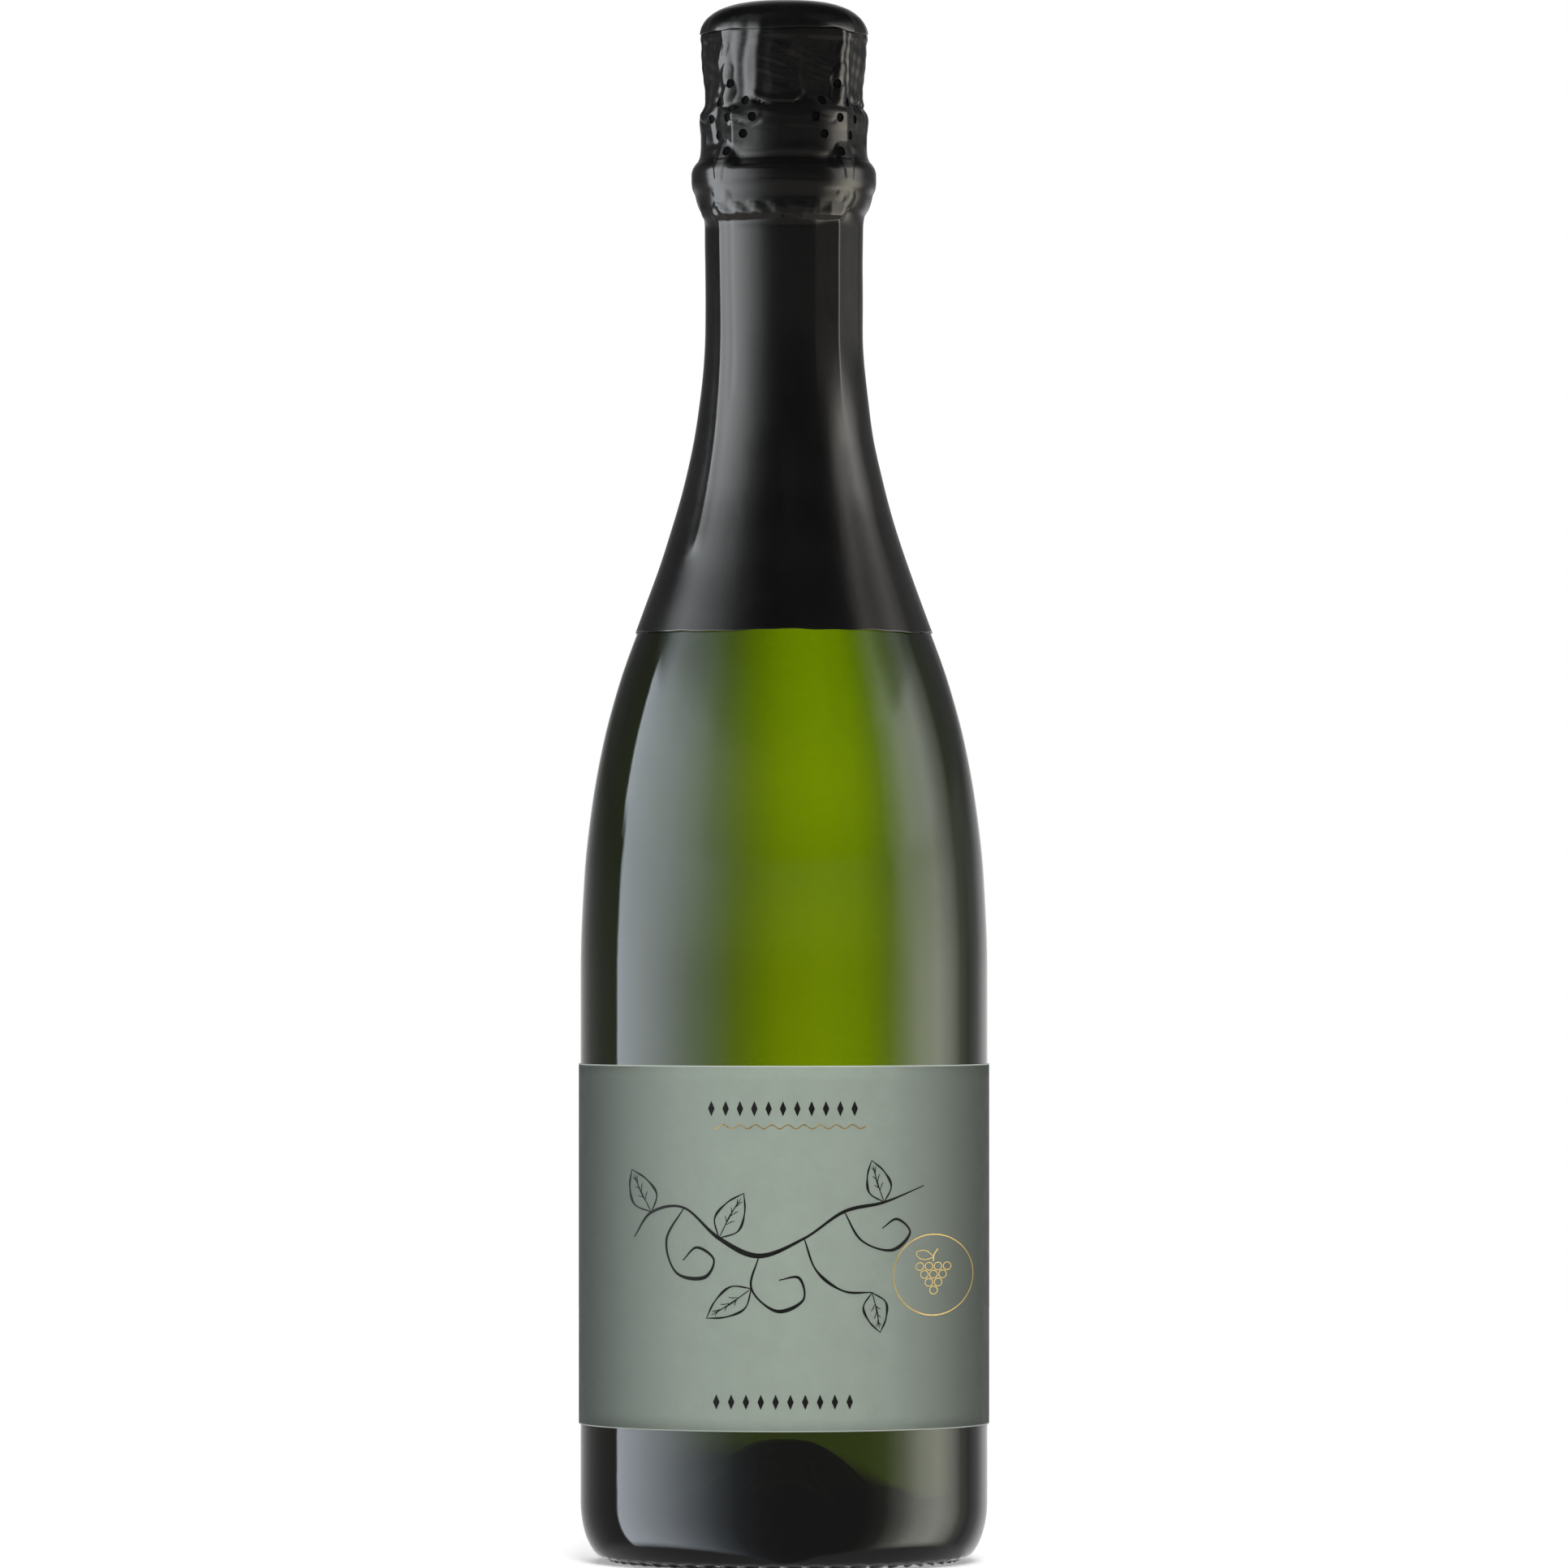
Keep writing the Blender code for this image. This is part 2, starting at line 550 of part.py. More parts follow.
def belt_wire_points():
    """The belt as one closed wire: round the neck through the eyes, and its twisted tail and loop."""
    neck_turn = 1 / BELT_RADIUS
    pitch = 2 * ARC_STEPS
    points = []
    drop = BELT_HEIGHT - TAIL_HEIGHT
    bend = (drop - STRAND_OFFSET) / 2
    # Round the neck, from just past the tail's root back to just before it
    stops = []
    first = TAIL_START + (bend + WIRE_RADIUS) * neck_turn
    last = TAIL_START + math.tau - (drop + 3 * PAIR_RADIUS) * neck_turn
    stop = first
    while stop < last - FACET / 2:
        stops.append(stop)
        stop += FACET
    eyes = []
    for leg in LEG_AZIMUTHS:
        for k in range(-3, 4):
            eyes.append(leg + k * EYE_HALF_WIDTH * neck_turn * 2 / 3)
    near = 3 * EYE_HALF_WIDTH * neck_turn
    stops = [a for a in stops if min(turn_between(a, leg) for leg in LEG_AZIMUTHS) > near]
    stops += [first + (a - first) % math.tau for a in eyes]
    stops = sorted(a for a in stops if first <= a <= last)
    stops.append(last)
    points += [azimuth_point(a, belt_layer(a), BELT_HEIGHT) for a in stops]
    # Strand one leaves the belt and drops under it in an S
    for share in (0.3, 0.55, 0.8):
        ease = share * share * (3 - 2 * share)
        angle = last + (drop + 2 * PAIR_RADIUS) * neck_turn * share
        points.append(
            azimuth_point(
                angle,
                between(BELT_RADIUS, TAIL_RADIUS, ease),
                between(BELT_HEIGHT, TAIL_HEIGHT - STRAND_OFFSET, ease),
            )
        )
    # The twisted pair, out along strand one, round the loop and back along strand two
    steps = int(round(TAIL_TURNS * pitch))
    out = []
    back = []
    for i in range(steps + 1):
        angle = TAIL_START + TAIL_ANGLE * i / steps + bend * neck_turn
        turn = math.tau * TAIL_TURNS * i / steps
        for strand, side in ((out, -1), (back, 1)):
            strand.append(
                azimuth_point(
                    angle,
                    TAIL_RADIUS + side * STRAND_OFFSET * math.sin(turn),
                    TAIL_HEIGHT + side * STRAND_OFFSET * math.cos(turn),
                )
            )
    end = TAIL_START + TAIL_ANGLE + bend * neck_turn
    half_turns = round(2 * TAIL_TURNS)
    sign = -1 if half_turns % 2 == 0 else 1
    straight = TAIL_LOOP_LENGTH - TAIL_LOOP_HALF_WIDTH
    tip = end + straight * neck_turn
    side_stops = [end + straight * neck_turn * share for share in (0.3, 0.65)]
    loop = [azimuth_point(a, TAIL_RADIUS, TAIL_HEIGHT + sign * TAIL_LOOP_HALF_WIDTH) for a in side_stops]
    for i in range(ARC_STEPS + 1):
        turn = math.pi * i / ARC_STEPS
        height = TAIL_HEIGHT + sign * TAIL_LOOP_HALF_WIDTH * math.cos(turn)
        along = TAIL_LOOP_HALF_WIDTH * math.sin(turn)
        loop.append(azimuth_point(tip + along * neck_turn, TAIL_RADIUS, height))
    loop += [
        azimuth_point(a, TAIL_RADIUS, TAIL_HEIGHT - sign * TAIL_LOOP_HALF_WIDTH)
        for a in reversed(side_stops)
    ]
    points += out + loop + list(reversed(back))
    # Strand two turns back up to the belt
    centre = TAIL_START + bend * neck_turn
    for i in range(1, ARC_STEPS):
        turn = math.pi * i / ARC_STEPS
        height = TAIL_HEIGHT + STRAND_OFFSET + bend * (1 - math.cos(turn))
        radius = between(TAIL_RADIUS, BELT_RADIUS, (1 - math.cos(turn)) / 2)
        points.append(azimuth_point(centre - bend * math.sin(turn) * neck_turn, radius, height))
    return points


def wire(name, points, home, finish):
    """A closed wire of round section, as one unbroken tube."""
    curve = bpy.data.curves.new(name, "CURVE")
    curve.dimensions = "3D"
    curve.bevel_depth = WIRE_RADIUS
    curve.bevel_resolution = WIRE_SIDES_RESOLUTION
    curve.twist_mode = "MINIMUM"
    spline = curve.splines.new("POLY")
    spline.points.add(len(points) - 1)
    for knot, point in zip(spline.points, points):
        knot.co = (*point, 1.0)
    spline.use_cyclic_u = True
    obj = place(name, curve, home)
    mesh = bpy.data.meshes.new_from_object(obj.evaluated_get(bpy.context.evaluated_depsgraph_get()))
    bpy.data.objects.remove(obj, do_unlink=True)
    shape = bmesh.new()
    shape.from_mesh(mesh)
    bmesh.ops.remove_doubles(shape, verts=shape.verts, dist=MERGE)
    bmesh.ops.recalc_face_normals(shape, faces=shape.faces)
    shape.to_mesh(mesh)
    shape.free()
    mesh.shade_smooth()
    mesh.materials.clear()
    return place(name, mesh, home, finish)


def segment_distance(a0, a1, b0, b1):
    """The least distance between two straight stretches, by closest points clamped to both."""
    u, v, w = a1 - a0, b1 - b0, a0 - b0
    uu, uv, vv, uw, vw = u.dot(u), u.dot(v), v.dot(v), u.dot(w), v.dot(w)
    det = uu * vv - uv * uv
    s = min(max((uv * vw - vv * uw) / det, 0.0), 1.0) if det > 0 else 0.0
    t = min(max((uv * s + vw) / vv, 0.0), 1.0)
    s = min(max((uv * t - uw) / uu, 0.0), 1.0)
    return (w + u * s - v * t).length


def least_gap(first, second=None):
    """The least gap between two closed wires, or between one wire and itself away from each point."""
    other = first if second is None else second
    least = math.inf
    reach = 6 * WIRE_RADIUS
    count = len(first)
    along = [0.0]
    for i in range(count):
        along.append(along[-1] + (first[(i + 1) % count] - first[i]).length)
    for i in range(count):
        for j in range(len(other)):
            if second is None:
                if j <= i:
                    continue
                apart = along[j] - along[i + 1]
                around = along[-1] - along[j + 1] + along[i]
                if min(apart, around) < reach:
                    continue
            gap = segment_distance(
                first[i], first[(i + 1) % count], other[j], other[(j + 1) % len(other)]
            )
            least = min(least, gap)
    return least - 2 * WIRE_RADIUS


def make_cage(home, frame_finish, belt_finish):
    frame_points = frame_wire_points()
    belt_points = belt_wire_points()
    wire("cage_frame_wire", frame_points, home, frame_finish)
    wire("cage_belt_wire", belt_points, home, belt_finish)
    print("frame wire to itself:", round(least_gap(frame_points), 6))
    print("belt wire to itself:", round(least_gap(belt_points), 6))
    print("frame wire to belt wire:", round(least_gap(frame_points, belt_points), 6))
    return frame_points, belt_points


def wire_reach(points, low, high):
    """How far out any wire stands between two heights."""
    reaches = [math.hypot(p.x, p.y) + WIRE_RADIUS for p in points if low <= p.z <= high]
    return max(reaches, default=0.0)


def press(obj, lumps):
    """Presses an outer skin over what lies under it: each lump lifts the skin where it stands out."""
    for vertex in obj.data.vertices:
        azimuth = math.atan2(vertex.co.x, -vertex.co.y)
        radius = math.hypot(vertex.co.x, vertex.co.y)
        lifted = radius
        for middle, half, crest in lumps:
            beyond = turn_between(azimuth, middle) - half
            share = min(max(1 - beyond / FACET, 0.0), 1.0)
            wanted = crest(vertex.co.z) + FOIL_GAP + FOIL_THICKNESS
            lifted = max(lifted, between(radius, wanted, share))
        if lifted > radius:
            vertex.co.x *= lifted / radius
            vertex.co.y *= lifted / radius


def skirt_profile():
    """The outer skin of the foil on shoulder, neck and collar, from its split down to its edge."""
    glass = glass_outline()
    skin = FOIL_GAP + FOIL_THICKNESS
    collar_crest = COLLAR_BASE + COLLAR_HEIGHT * COLLAR_SHARES[3][1]
    crest = COLLAR_RADIUS + COLLAR_STANDOFF + FOIL_THICKNESS
    belt_outer = OUTER_LAYER + WIRE_RADIUS + skin
    tail_top = TAIL_HEIGHT + PAIR_RADIUS
    tail_foot = TAIL_HEIGHT - PAIR_RADIUS
    upper = [
        (between(crest, LEG_RADIUS, 0.55), FOIL_SPLIT - FOIL_SEAM / 2),
        (between(crest, LEG_RADIUS, 0.22), between(collar_crest, COLLAR_TOP, 0.72)),
        (crest, between(collar_crest, COLLAR_TOP, 0.30)),
        (crest, between(collar_crest, COLLAR_BASE, 0.25)),
        (between(crest, belt_outer, 0.55), between(collar_crest, COLLAR_BASE, 0.72)),
        (belt_outer, BELT_HEIGHT + WIRE_RADIUS),
        (between(belt_outer, NECK_RADIUS + skin, 0.22), between(BELT_HEIGHT, tail_top, 0.62)),
        (between(belt_outer, NECK_RADIUS + skin, 0.36), tail_top - WIRE_RADIUS),
        (between(belt_outer, NECK_RADIUS + skin, 0.80), tail_foot),
        (NECK_RADIUS + skin, tail_foot - 3 * WIRE_RADIUS),
    ]
    lower = [
        (radius + skin, height)
        for radius, height in reversed(glass)
        if FOIL_EDGE + skin < height < upper[-1][1] - skin
    ]
    edge = (read_at(glass[ARC_STEPS + 1:], FOIL_EDGE) + skin, FOIL_EDGE)
    return upper + lower + [edge]


def make_skirt(home, finish, frame_points, belt_points):
    """The foil from the collar down: it follows the glass and is pressed over the wires beneath it."""
    skirt = bake(turned("foil_skirt", skirt_profile(), home, finish))
    metal = frame_points + belt_points
    near = 3 * WIRE_RADIUS

    def over_leg(height):
        return wire_reach(metal, height - near, height + near)

    def over_tail(height):
        if abs(height - TAIL_HEIGHT) > PAIR_RADIUS + MERGE:
            return 0.0
        return TAIL_RADIUS + PAIR_RADIUS

    eye = (EYE_HALF_WIDTH + WIRE_RADIUS) / BELT_RADIUS
    lumps = [(leg, eye, over_leg) for leg in LEG_AZIMUTHS]
    tail_span = (TAIL_ANGLE + TAIL_LOOP_LENGTH / BELT_RADIUS) / 2 + eye
    lumps.append((TAIL_START + tail_span - eye, tail_span, over_tail))
    press(skirt, lumps)
    solidify(skirt, FOIL_THICKNESS)
    return skirt


def hood_profile():
    """The outer skin of the hood from the fold under the top disc down to its lower edge."""
    base = FOIL_SPLIT + FOIL_SEAM / 2
    seat = max(LIP_RADIUS, HEAD_RADIUS)
    side = [
        (seat + LEG_BULK * share + FOIL_THICKNESS, between(base, CAP_EDGE, height))
        for height, share in reversed(HOOD_SHARES)
    ]
    return [(side[0][0] - CAP_FOLD / 2, CAP_EDGE + CAP_FOLD)] + side


def make_hood(home, cutters, finish, frame_points):
    """The foil round cork and lip: pressed over the legs, with its vent holes punched through."""
    hood = bake(turned("foil_hood", hood_profile(), home, finish))
    near = 3 * WIRE_RADIUS

    def over_leg(height):
        return wire_reach(frame_points, height - near, math.inf)

    pair = PAIR_RADIUS / LEG_RADIUS
    press(hood, [(leg, pair, over_leg) for leg in LEG_AZIMUTHS])
    solidify(hood, FOIL_THICKNESS)
    vents = bmesh.new()
    middle_row = FOIL_SPLIT + VENT_EDGE + 2 * VENT_PITCH
    length = 2 * LEG_BULK + 2 * FOIL_THICKNESS
    for group in VENT_GROUP_AZIMUTHS:
        for row, holes in enumerate(VENT_ROWS):
            height = middle_row + (2 - row) * VENT_PITCH
            for k in range(holes):
                azimuth = group + (2 * k - holes + 1) * VENT_STEP
                spot = azimuth_point(azimuth, LEG_RADIUS + LEG_BULK / 2, height)
                turn = Matrix.Rotation(azimuth - math.pi / 2, 4, "Z")
                lie = Matrix.Rotation(math.pi / 2, 4, "Y")
                bmesh.ops.create_cone(
                    vents, cap_ends=True, segments=VENT_SIDES, radius1=VENT_RADIUS, radius2=VENT_RADIUS,
                    depth=length, matrix=Matrix.Translation(spot) @ turn @ lie,
                )
    mesh = bpy.data.meshes.new("vent_cutter")
    vents.to_mesh(mesh)
    vents.free()
    cut(hood, place("vent_cutter", mesh, cutters))
    return hood


def make_top_disc(home, finish, hood):
    """The stamped disc that closes the foil: a low dome whose rim laps over the hood's upper edge."""
    lapped = [v.co.to_2d().length for v in hood.data.vertices if v.co.z > CAP_EDGE - 2 * CAP_RIM_STEP]
    rim = max(lapped) + FOIL_GAP + FOIL_THICKNESS
    foot = CAP_EDGE + CAP_RIM_STEP
    dome = [(rim * r, foot + (CAP_HEIGHT - CAP_RIM_STEP) * h) for r, h in reversed(DOME_SHARES)]
    disc = turned("foil_top_disc", dome + [(rim, CAP_EDGE - CAP_RIM_STEP)], home, finish)
    solidify(bake(disc), FOIL_THICKNESS)
    return disc


def make_label(home, finish):
    """The paper label: a flat sheet bent round the body, its facets in step with the glass."""
    columns = int(round(LABEL_WRAP_ANGLE / FACET))
    sheet = bmesh.new()
    unit_half = 0.5
    bmesh.ops.create_grid(sheet, x_segments=columns, y_segments=1, size=unit_half)
    radius = BODY_RADIUS + LABEL_GAP + LABEL_THICKNESS
    for vertex in sheet.verts:
        azimuth = vertex.co.x * LABEL_WRAP_ANGLE
        height = LABEL_BOTTOM + LABEL_HEIGHT * (vertex.co.y + unit_half)
        vertex.co = azimuth_point(azimuth, radius, height)
    mesh = bpy.data.meshes.new("front_label")
    sheet.to_mesh(mesh)
    sheet.free()
    mesh.shade_smooth()
    label = place("front_label", mesh, home, finish)
    solidify(label, LABEL_THICKNESS)
    return label


def main():
    clear_scene()
    home = collection(NAME)
    cutters = collection("cutters")
    green_glass = material("green_glass", (0.10, 0.16, 0.01), 0.05, transmission=1.0)
    pale_wine = material("pale_wine", (0.85, 0.80, 0.42), 0.02, transmission=1.0)
    granules = material("granule_cork", (0.55, 0.38, 0.22), 0.85)
    natural = material("natural_cork", (0.60, 0.43, 0.27), 0.80)
    tinned = material("tinned_wire", (0.62, 0.62, 0.60), 0.30, metallic=1.0)
    printed_plate = material("lacquered_plate", (0.03, 0.03, 0.03), 0.30, metallic=1.0)
    black_foil = material("black_foil", (0.012, 0.012, 0.013), 0.38, metallic=0.3)
    sage_paper = material("sage_paper", (0.29, 0.34, 0.28), 0.65)
    make_glass(home, cutters, green_glass)
    make_wine(home, pale_wine)
    make_cork(home, granules, natural)
    make_plate(home, printed_plate)
    frame_points, belt_points = make_cage(home, tinned, tinned)
    make_skirt(home, black_foil, frame_points, belt_points)
    hood = make_hood(home, cutters, black_foil, frame_points)
    make_top_disc(home, black_foil, hood)
    make_label(home, sage_paper)


main()
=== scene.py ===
import math

import bmesh
import bpy
import numpy as np
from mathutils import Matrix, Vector


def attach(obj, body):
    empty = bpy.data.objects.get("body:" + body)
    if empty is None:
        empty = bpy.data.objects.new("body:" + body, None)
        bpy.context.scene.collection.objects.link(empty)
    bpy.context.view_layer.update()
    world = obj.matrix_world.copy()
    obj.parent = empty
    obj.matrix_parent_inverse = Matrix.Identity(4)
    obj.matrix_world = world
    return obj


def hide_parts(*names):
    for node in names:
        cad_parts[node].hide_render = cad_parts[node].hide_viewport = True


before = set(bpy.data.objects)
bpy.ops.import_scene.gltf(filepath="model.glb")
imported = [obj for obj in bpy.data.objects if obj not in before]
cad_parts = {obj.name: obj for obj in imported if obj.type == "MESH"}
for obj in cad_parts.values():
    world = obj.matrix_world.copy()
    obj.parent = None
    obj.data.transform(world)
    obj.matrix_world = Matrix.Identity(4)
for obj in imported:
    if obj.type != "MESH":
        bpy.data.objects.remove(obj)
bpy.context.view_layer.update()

# Lengths in this script are written in millimetres and scaled once, here
MM = 0.001

# ---------------------------------------------------------------- small helpers


def smoothstep(low, high, value):
    share = np.clip((value - low) / (high - low), 0.0, 1.0)
    return share * share * (3.0 - 2.0 * share)


def window(low, full, fading, high, value):
    """One between two soft edges, nought outside them."""
    return smoothstep(low, full, value) * (1 - smoothstep(fading, high, value))


def wrapped(azimuth):
    """Degrees brought into -180 to 180."""
    return (azimuth + 180.0) % 360.0 - 180.0


def hump(value, centre, half_width):
    return np.exp(-((value - centre) / half_width) ** 2)


def eased(knots, heights):
    """A smooth radius at each height through (height, radius) knots, by monotone cubic pieces."""
    z, r = np.array(knots, float).T
    step = np.diff(z)
    slope = np.diff(r) / step
    before, after = 2 * step[1:] + step[:-1], step[1:] + 2 * step[:-1]
    rising = slope[:-1] * slope[1:] > 0
    first, second = np.where(rising, slope[:-1], 1.0), np.where(rising, slope[1:], 1.0)
    inner = np.where(rising, (before + after) / (before / first + after / second), 0.0)
    tangent = np.concatenate([slope[:1], inner, slope[-1:]])
    at = np.clip(np.searchsorted(z, heights, side="right") - 1, 0, len(step) - 1)
    t = (heights - z[at]) / step[at]
    return ((1 + 2 * t) * (1 - t) ** 2 * r[at] + t * (1 - t) ** 2 * step[at] * tangent[at]
            + t * t * (3 - 2 * t) * r[at + 1] + t * t * (t - 1) * step[at] * tangent[at + 1])


def linked(name, data):
    piece = bpy.data.objects.new(name, data)
    bpy.context.scene.collection.objects.link(piece)
    return piece


def finished(mesh, *materials):
    """A finished mesh as an object of the same name, smooth-shaded, with its materials."""
    for made in materials:
        mesh.materials.append(made)
    mesh.shade_smooth()
    return linked(mesh.name, mesh)


def ring_mesh(name, rings, closed_foot=False, closed_top=False):
    """A skin from rings of points (rings x around x 3, in mm), foot first, turned counter-clockwise."""
    rows, around, _ = rings.shape
    points = [tuple(point) for point in rings.reshape(-1, 3) * MM]
    sides = [(j, (j + 1) % around) for j in range(around)]
    last = (rows - 1) * around
    faces = [(i + j, i + k, i + around + k, i + around + j) for i in range(0, last, around) for j, k in sides]
    if closed_foot:
        faces += [(len(points), k, j) for j, k in sides]
        points.append(tuple(rings[0].mean(axis=0) * MM))
    if closed_top:
        faces += [(len(points), last + j, last + k) for j, k in sides]
        points.append(tuple(rings[-1].mean(axis=0) * MM))
    mesh = bpy.data.meshes.new(name)
    mesh.from_pydata(points, [], faces)
    mesh.update()
    return mesh


def round_axis(radius, turn, height):
    """Points at a radius, a turn in radians from the front and a height."""
    radius, turn, height = np.broadcast_arrays(radius, turn, height)
    return np.stack([radius * np.sin(turn), -radius * np.cos(turn), height], axis=-1)


def turned_rings(profile, around):
    """Rings for a profile of (radius, height) in mm, azimuth 0 at the front."""
    profile = np.array(profile, float)
    return round_axis(profile[:, :1], np.linspace(0.0, math.tau, around, endpoint=False), profile[:, 1:])


def round_corners(profile, radius):
    """Rounds each inner corner of a (radius, height) polyline with a short curve."""
    points = [Vector(p) for p in profile]
    made = [points[0]]
    for before, corner, after in zip(points, points[1:], points[2:]):
        start, end = (corner + (other - corner).normalized() * min(radius, (other - corner).length * 0.45)
                      for other in (before, after))
        made += [start * (1 - t) ** 2 + corner * (2 * t * (1 - t)) + end * t * t for t in (0.0, 0.25, 0.5, 0.75, 1.0)]
    return [tuple(point) for point in made + points[-1:]]


def modified(piece):
    """Turns a piece's modifiers into plain mesh."""
    graph = bpy.context.evaluated_depsgraph_get()
    mesh = bpy.data.meshes.new_from_object(piece.evaluated_get(graph), depsgraph=graph)
    piece.modifiers.clear()
    old = piece.data
    piece.data = mesh
    bpy.data.meshes.remove(old)
    mesh.shade_smooth()
    return piece


def baked(piece, kind, **settings):
    """Runs one modifier on a piece and turns it into plain mesh."""
    modifier = piece.modifiers.new(kind.title(), kind)
    for key, value in settings.items():
        setattr(modifier, key, value)
    return modified(piece)


# ---------------------------------------------------------------- node helpers


def feed(tree, node, **values):
    """Sets a node's sockets, or links those given another node's output; other names are its own settings."""
    for key, value in values.items():
        title = key.replace("_", " ")
        if title not in node.inputs:
            setattr(node, key, value)
        elif isinstance(value, bpy.types.NodeSocket):
            tree.links.new(value, node.inputs[title])
        else:
            socket = node.inputs[title]
            socket.default_value = (*value, 1.0) if socket.type == "RGBA" else value
    return node


def new_node(tree, kind, **values):
    """A new node of a kind: a shader node unless its kind says otherwise."""
    return feed(tree, tree.nodes.new(kind if "Node" in kind else "ShaderNode" + kind), **values)


def maths(tree, operation, *values):
    made = new_node(tree, "Math", operation=operation)
    for socket, value in zip(made.inputs, values):
        if isinstance(value, bpy.types.NodeSocket):
            tree.links.new(value, socket)
        else:
            socket.default_value = value
    return made.outputs[0]


def ramp(tree, factor, stops):
    """A colour that runs through (place, colour) stops; a single value stands for a grey."""
    made = new_node(tree, "ValToRGB", Fac=factor)
    elements = made.color_ramp.elements
    while len(elements) < len(stops):
        elements.new(0.5)
    for element, (place, colour) in zip(elements, stops):
        element.position = place
        element.color = (*colour, 1.0) if isinstance(colour, tuple) else (colour, colour, colour, 1.0)
    return made.outputs["Color"]


def blend(tree, factor, first, second, mode="MIX"):
    made = new_node(tree, "Mix", data_type="RGBA", blend_type=mode)
    for index, value in ((0, factor), (6, first), (7, second)):
        if isinstance(value, bpy.types.NodeSocket):
            tree.links.new(value, made.inputs[index])
        else:
            made.inputs[index].default_value = (*value, 1.0) if isinstance(value, tuple) else value
    return made.outputs[2]


def multiplied(tree, first, second):
    return blend(tree, 1.0, first, second, "MULTIPLY")


def new_material(name):
    """A material with its tree and its shader."""
    made = bpy.data.materials.new(name)
    made.use_nodes = True
    return made, made.node_tree, made.node_tree.nodes["Principled BSDF"]


def object_place(tree):
    return new_node(tree, "TexCoord").outputs["Object"]


def axes_of(tree, place):
    return new_node(tree, "SeparateXYZ", Vector=place).outputs


def azimuth_of(tree, axes):
    """Radians from the front, towards +X."""
    return maths(tree, "ARCTAN2", axes["X"], maths(tree, "MULTIPLY", axes["Y"], -1.0))


def radius_of(tree, axes):
    """How far a place is from the bottle's axis."""
    squares = [maths(tree, "MULTIPLY", axes[key], axes[key]) for key in "XY"]
    return maths(tree, "SQRT", maths(tree, "ADD", *squares))


def node_group(name, kind, inputs, outputs):
    """An empty node group: each input has a value, or a kind of socket, and each output a kind of socket."""
    group = bpy.data.node_groups.new(name, kind)
    for title, value in inputs.items():
        socket = {float: "Float", int: "Int", tuple: "Color"}.get(type(value), value)
        made = group.interface.new_socket(title, in_out="INPUT", socket_type="NodeSocket" + socket)
        if socket != value:
            made.default_value = (*value, 1.0) if isinstance(value, tuple) else value
    for title, socket in outputs.items():
        group.interface.new_socket(title, in_out="OUTPUT", socket_type="NodeSocket" + socket)
    return group, group.nodes.new("NodeGroupInput").outputs, group.nodes.new("NodeGroupOutput")


# ---------------------------------------------------------------- finishes


def grain_group():
    """Fine handled-surface grain: a mottled mask, a roughness and a height."""
    group, given, out = node_group(
        "surface_grain", "ShaderNodeTree",
        {"Place": "Vector", "Grain Scale": 900.0, "Patch Scale": 60.0, "Smoothest": 0.2, "Roughest": 0.3},
        {"Mottle": "Float", "Roughness": "Float", "Height": "Float"},
    )
    fine, patch = (
        new_node(group, "TexNoise", Vector=given["Place"], Scale=given[scale], Detail=detail,
                 Roughness=broken).outputs["Fac"]
        for scale, detail, broken in (("Grain Scale", 4.0, 0.6), ("Patch Scale", 3.0, 0.5))
    )
    both = maths(group, "ADD", maths(group, "MULTIPLY", fine, 0.35), maths(group, "MULTIPLY", patch, 0.65))
    spread = new_node(group, "MapRange", Value=both, From_Min=0.35, From_Max=0.65,
                      To_Min=given["Smoothest"], To_Max=given["Roughest"])
    feed(group, out, Mottle=both, Roughness=spread.outputs["Result"], Height=fine)
    return group


def speckle_group():
    """Cells of two tones with soft borders, for pressed granules."""
    group, given, out = node_group(
        "speckle", "ShaderNodeTree",
        {"Place": "Vector", "Cell Scale": 500.0, "Light Tone": (0.6, 0.45, 0.3), "Dark Tone": (0.35, 0.22, 0.12),
         "Joint": 0.12},
        {"Color": "Color", "Height": "Float"},
    )
    cells, edges = (
        new_node(group, "TexVoronoi", feature=feature, Vector=given["Place"],
                 Scale=given["Cell Scale"]).outputs
        for feature in ("F1", "DISTANCE_TO_EDGE")
    )
    tone = new_node(group, "SeparateColor", Color=cells["Color"]).outputs[0]
    mixed = blend(group, tone, given["Light Tone"], given["Dark Tone"])
    joint = maths(group, "SMOOTH_MIN", maths(group, "DIVIDE", edges["Distance"], given["Joint"]), 1.0, 0.3)
    feed(group, out, Color=blend(group, joint, given["Dark Tone"], mixed), Height=joint)
    return group


GRAIN = grain_group()
SPECKLE = speckle_group()


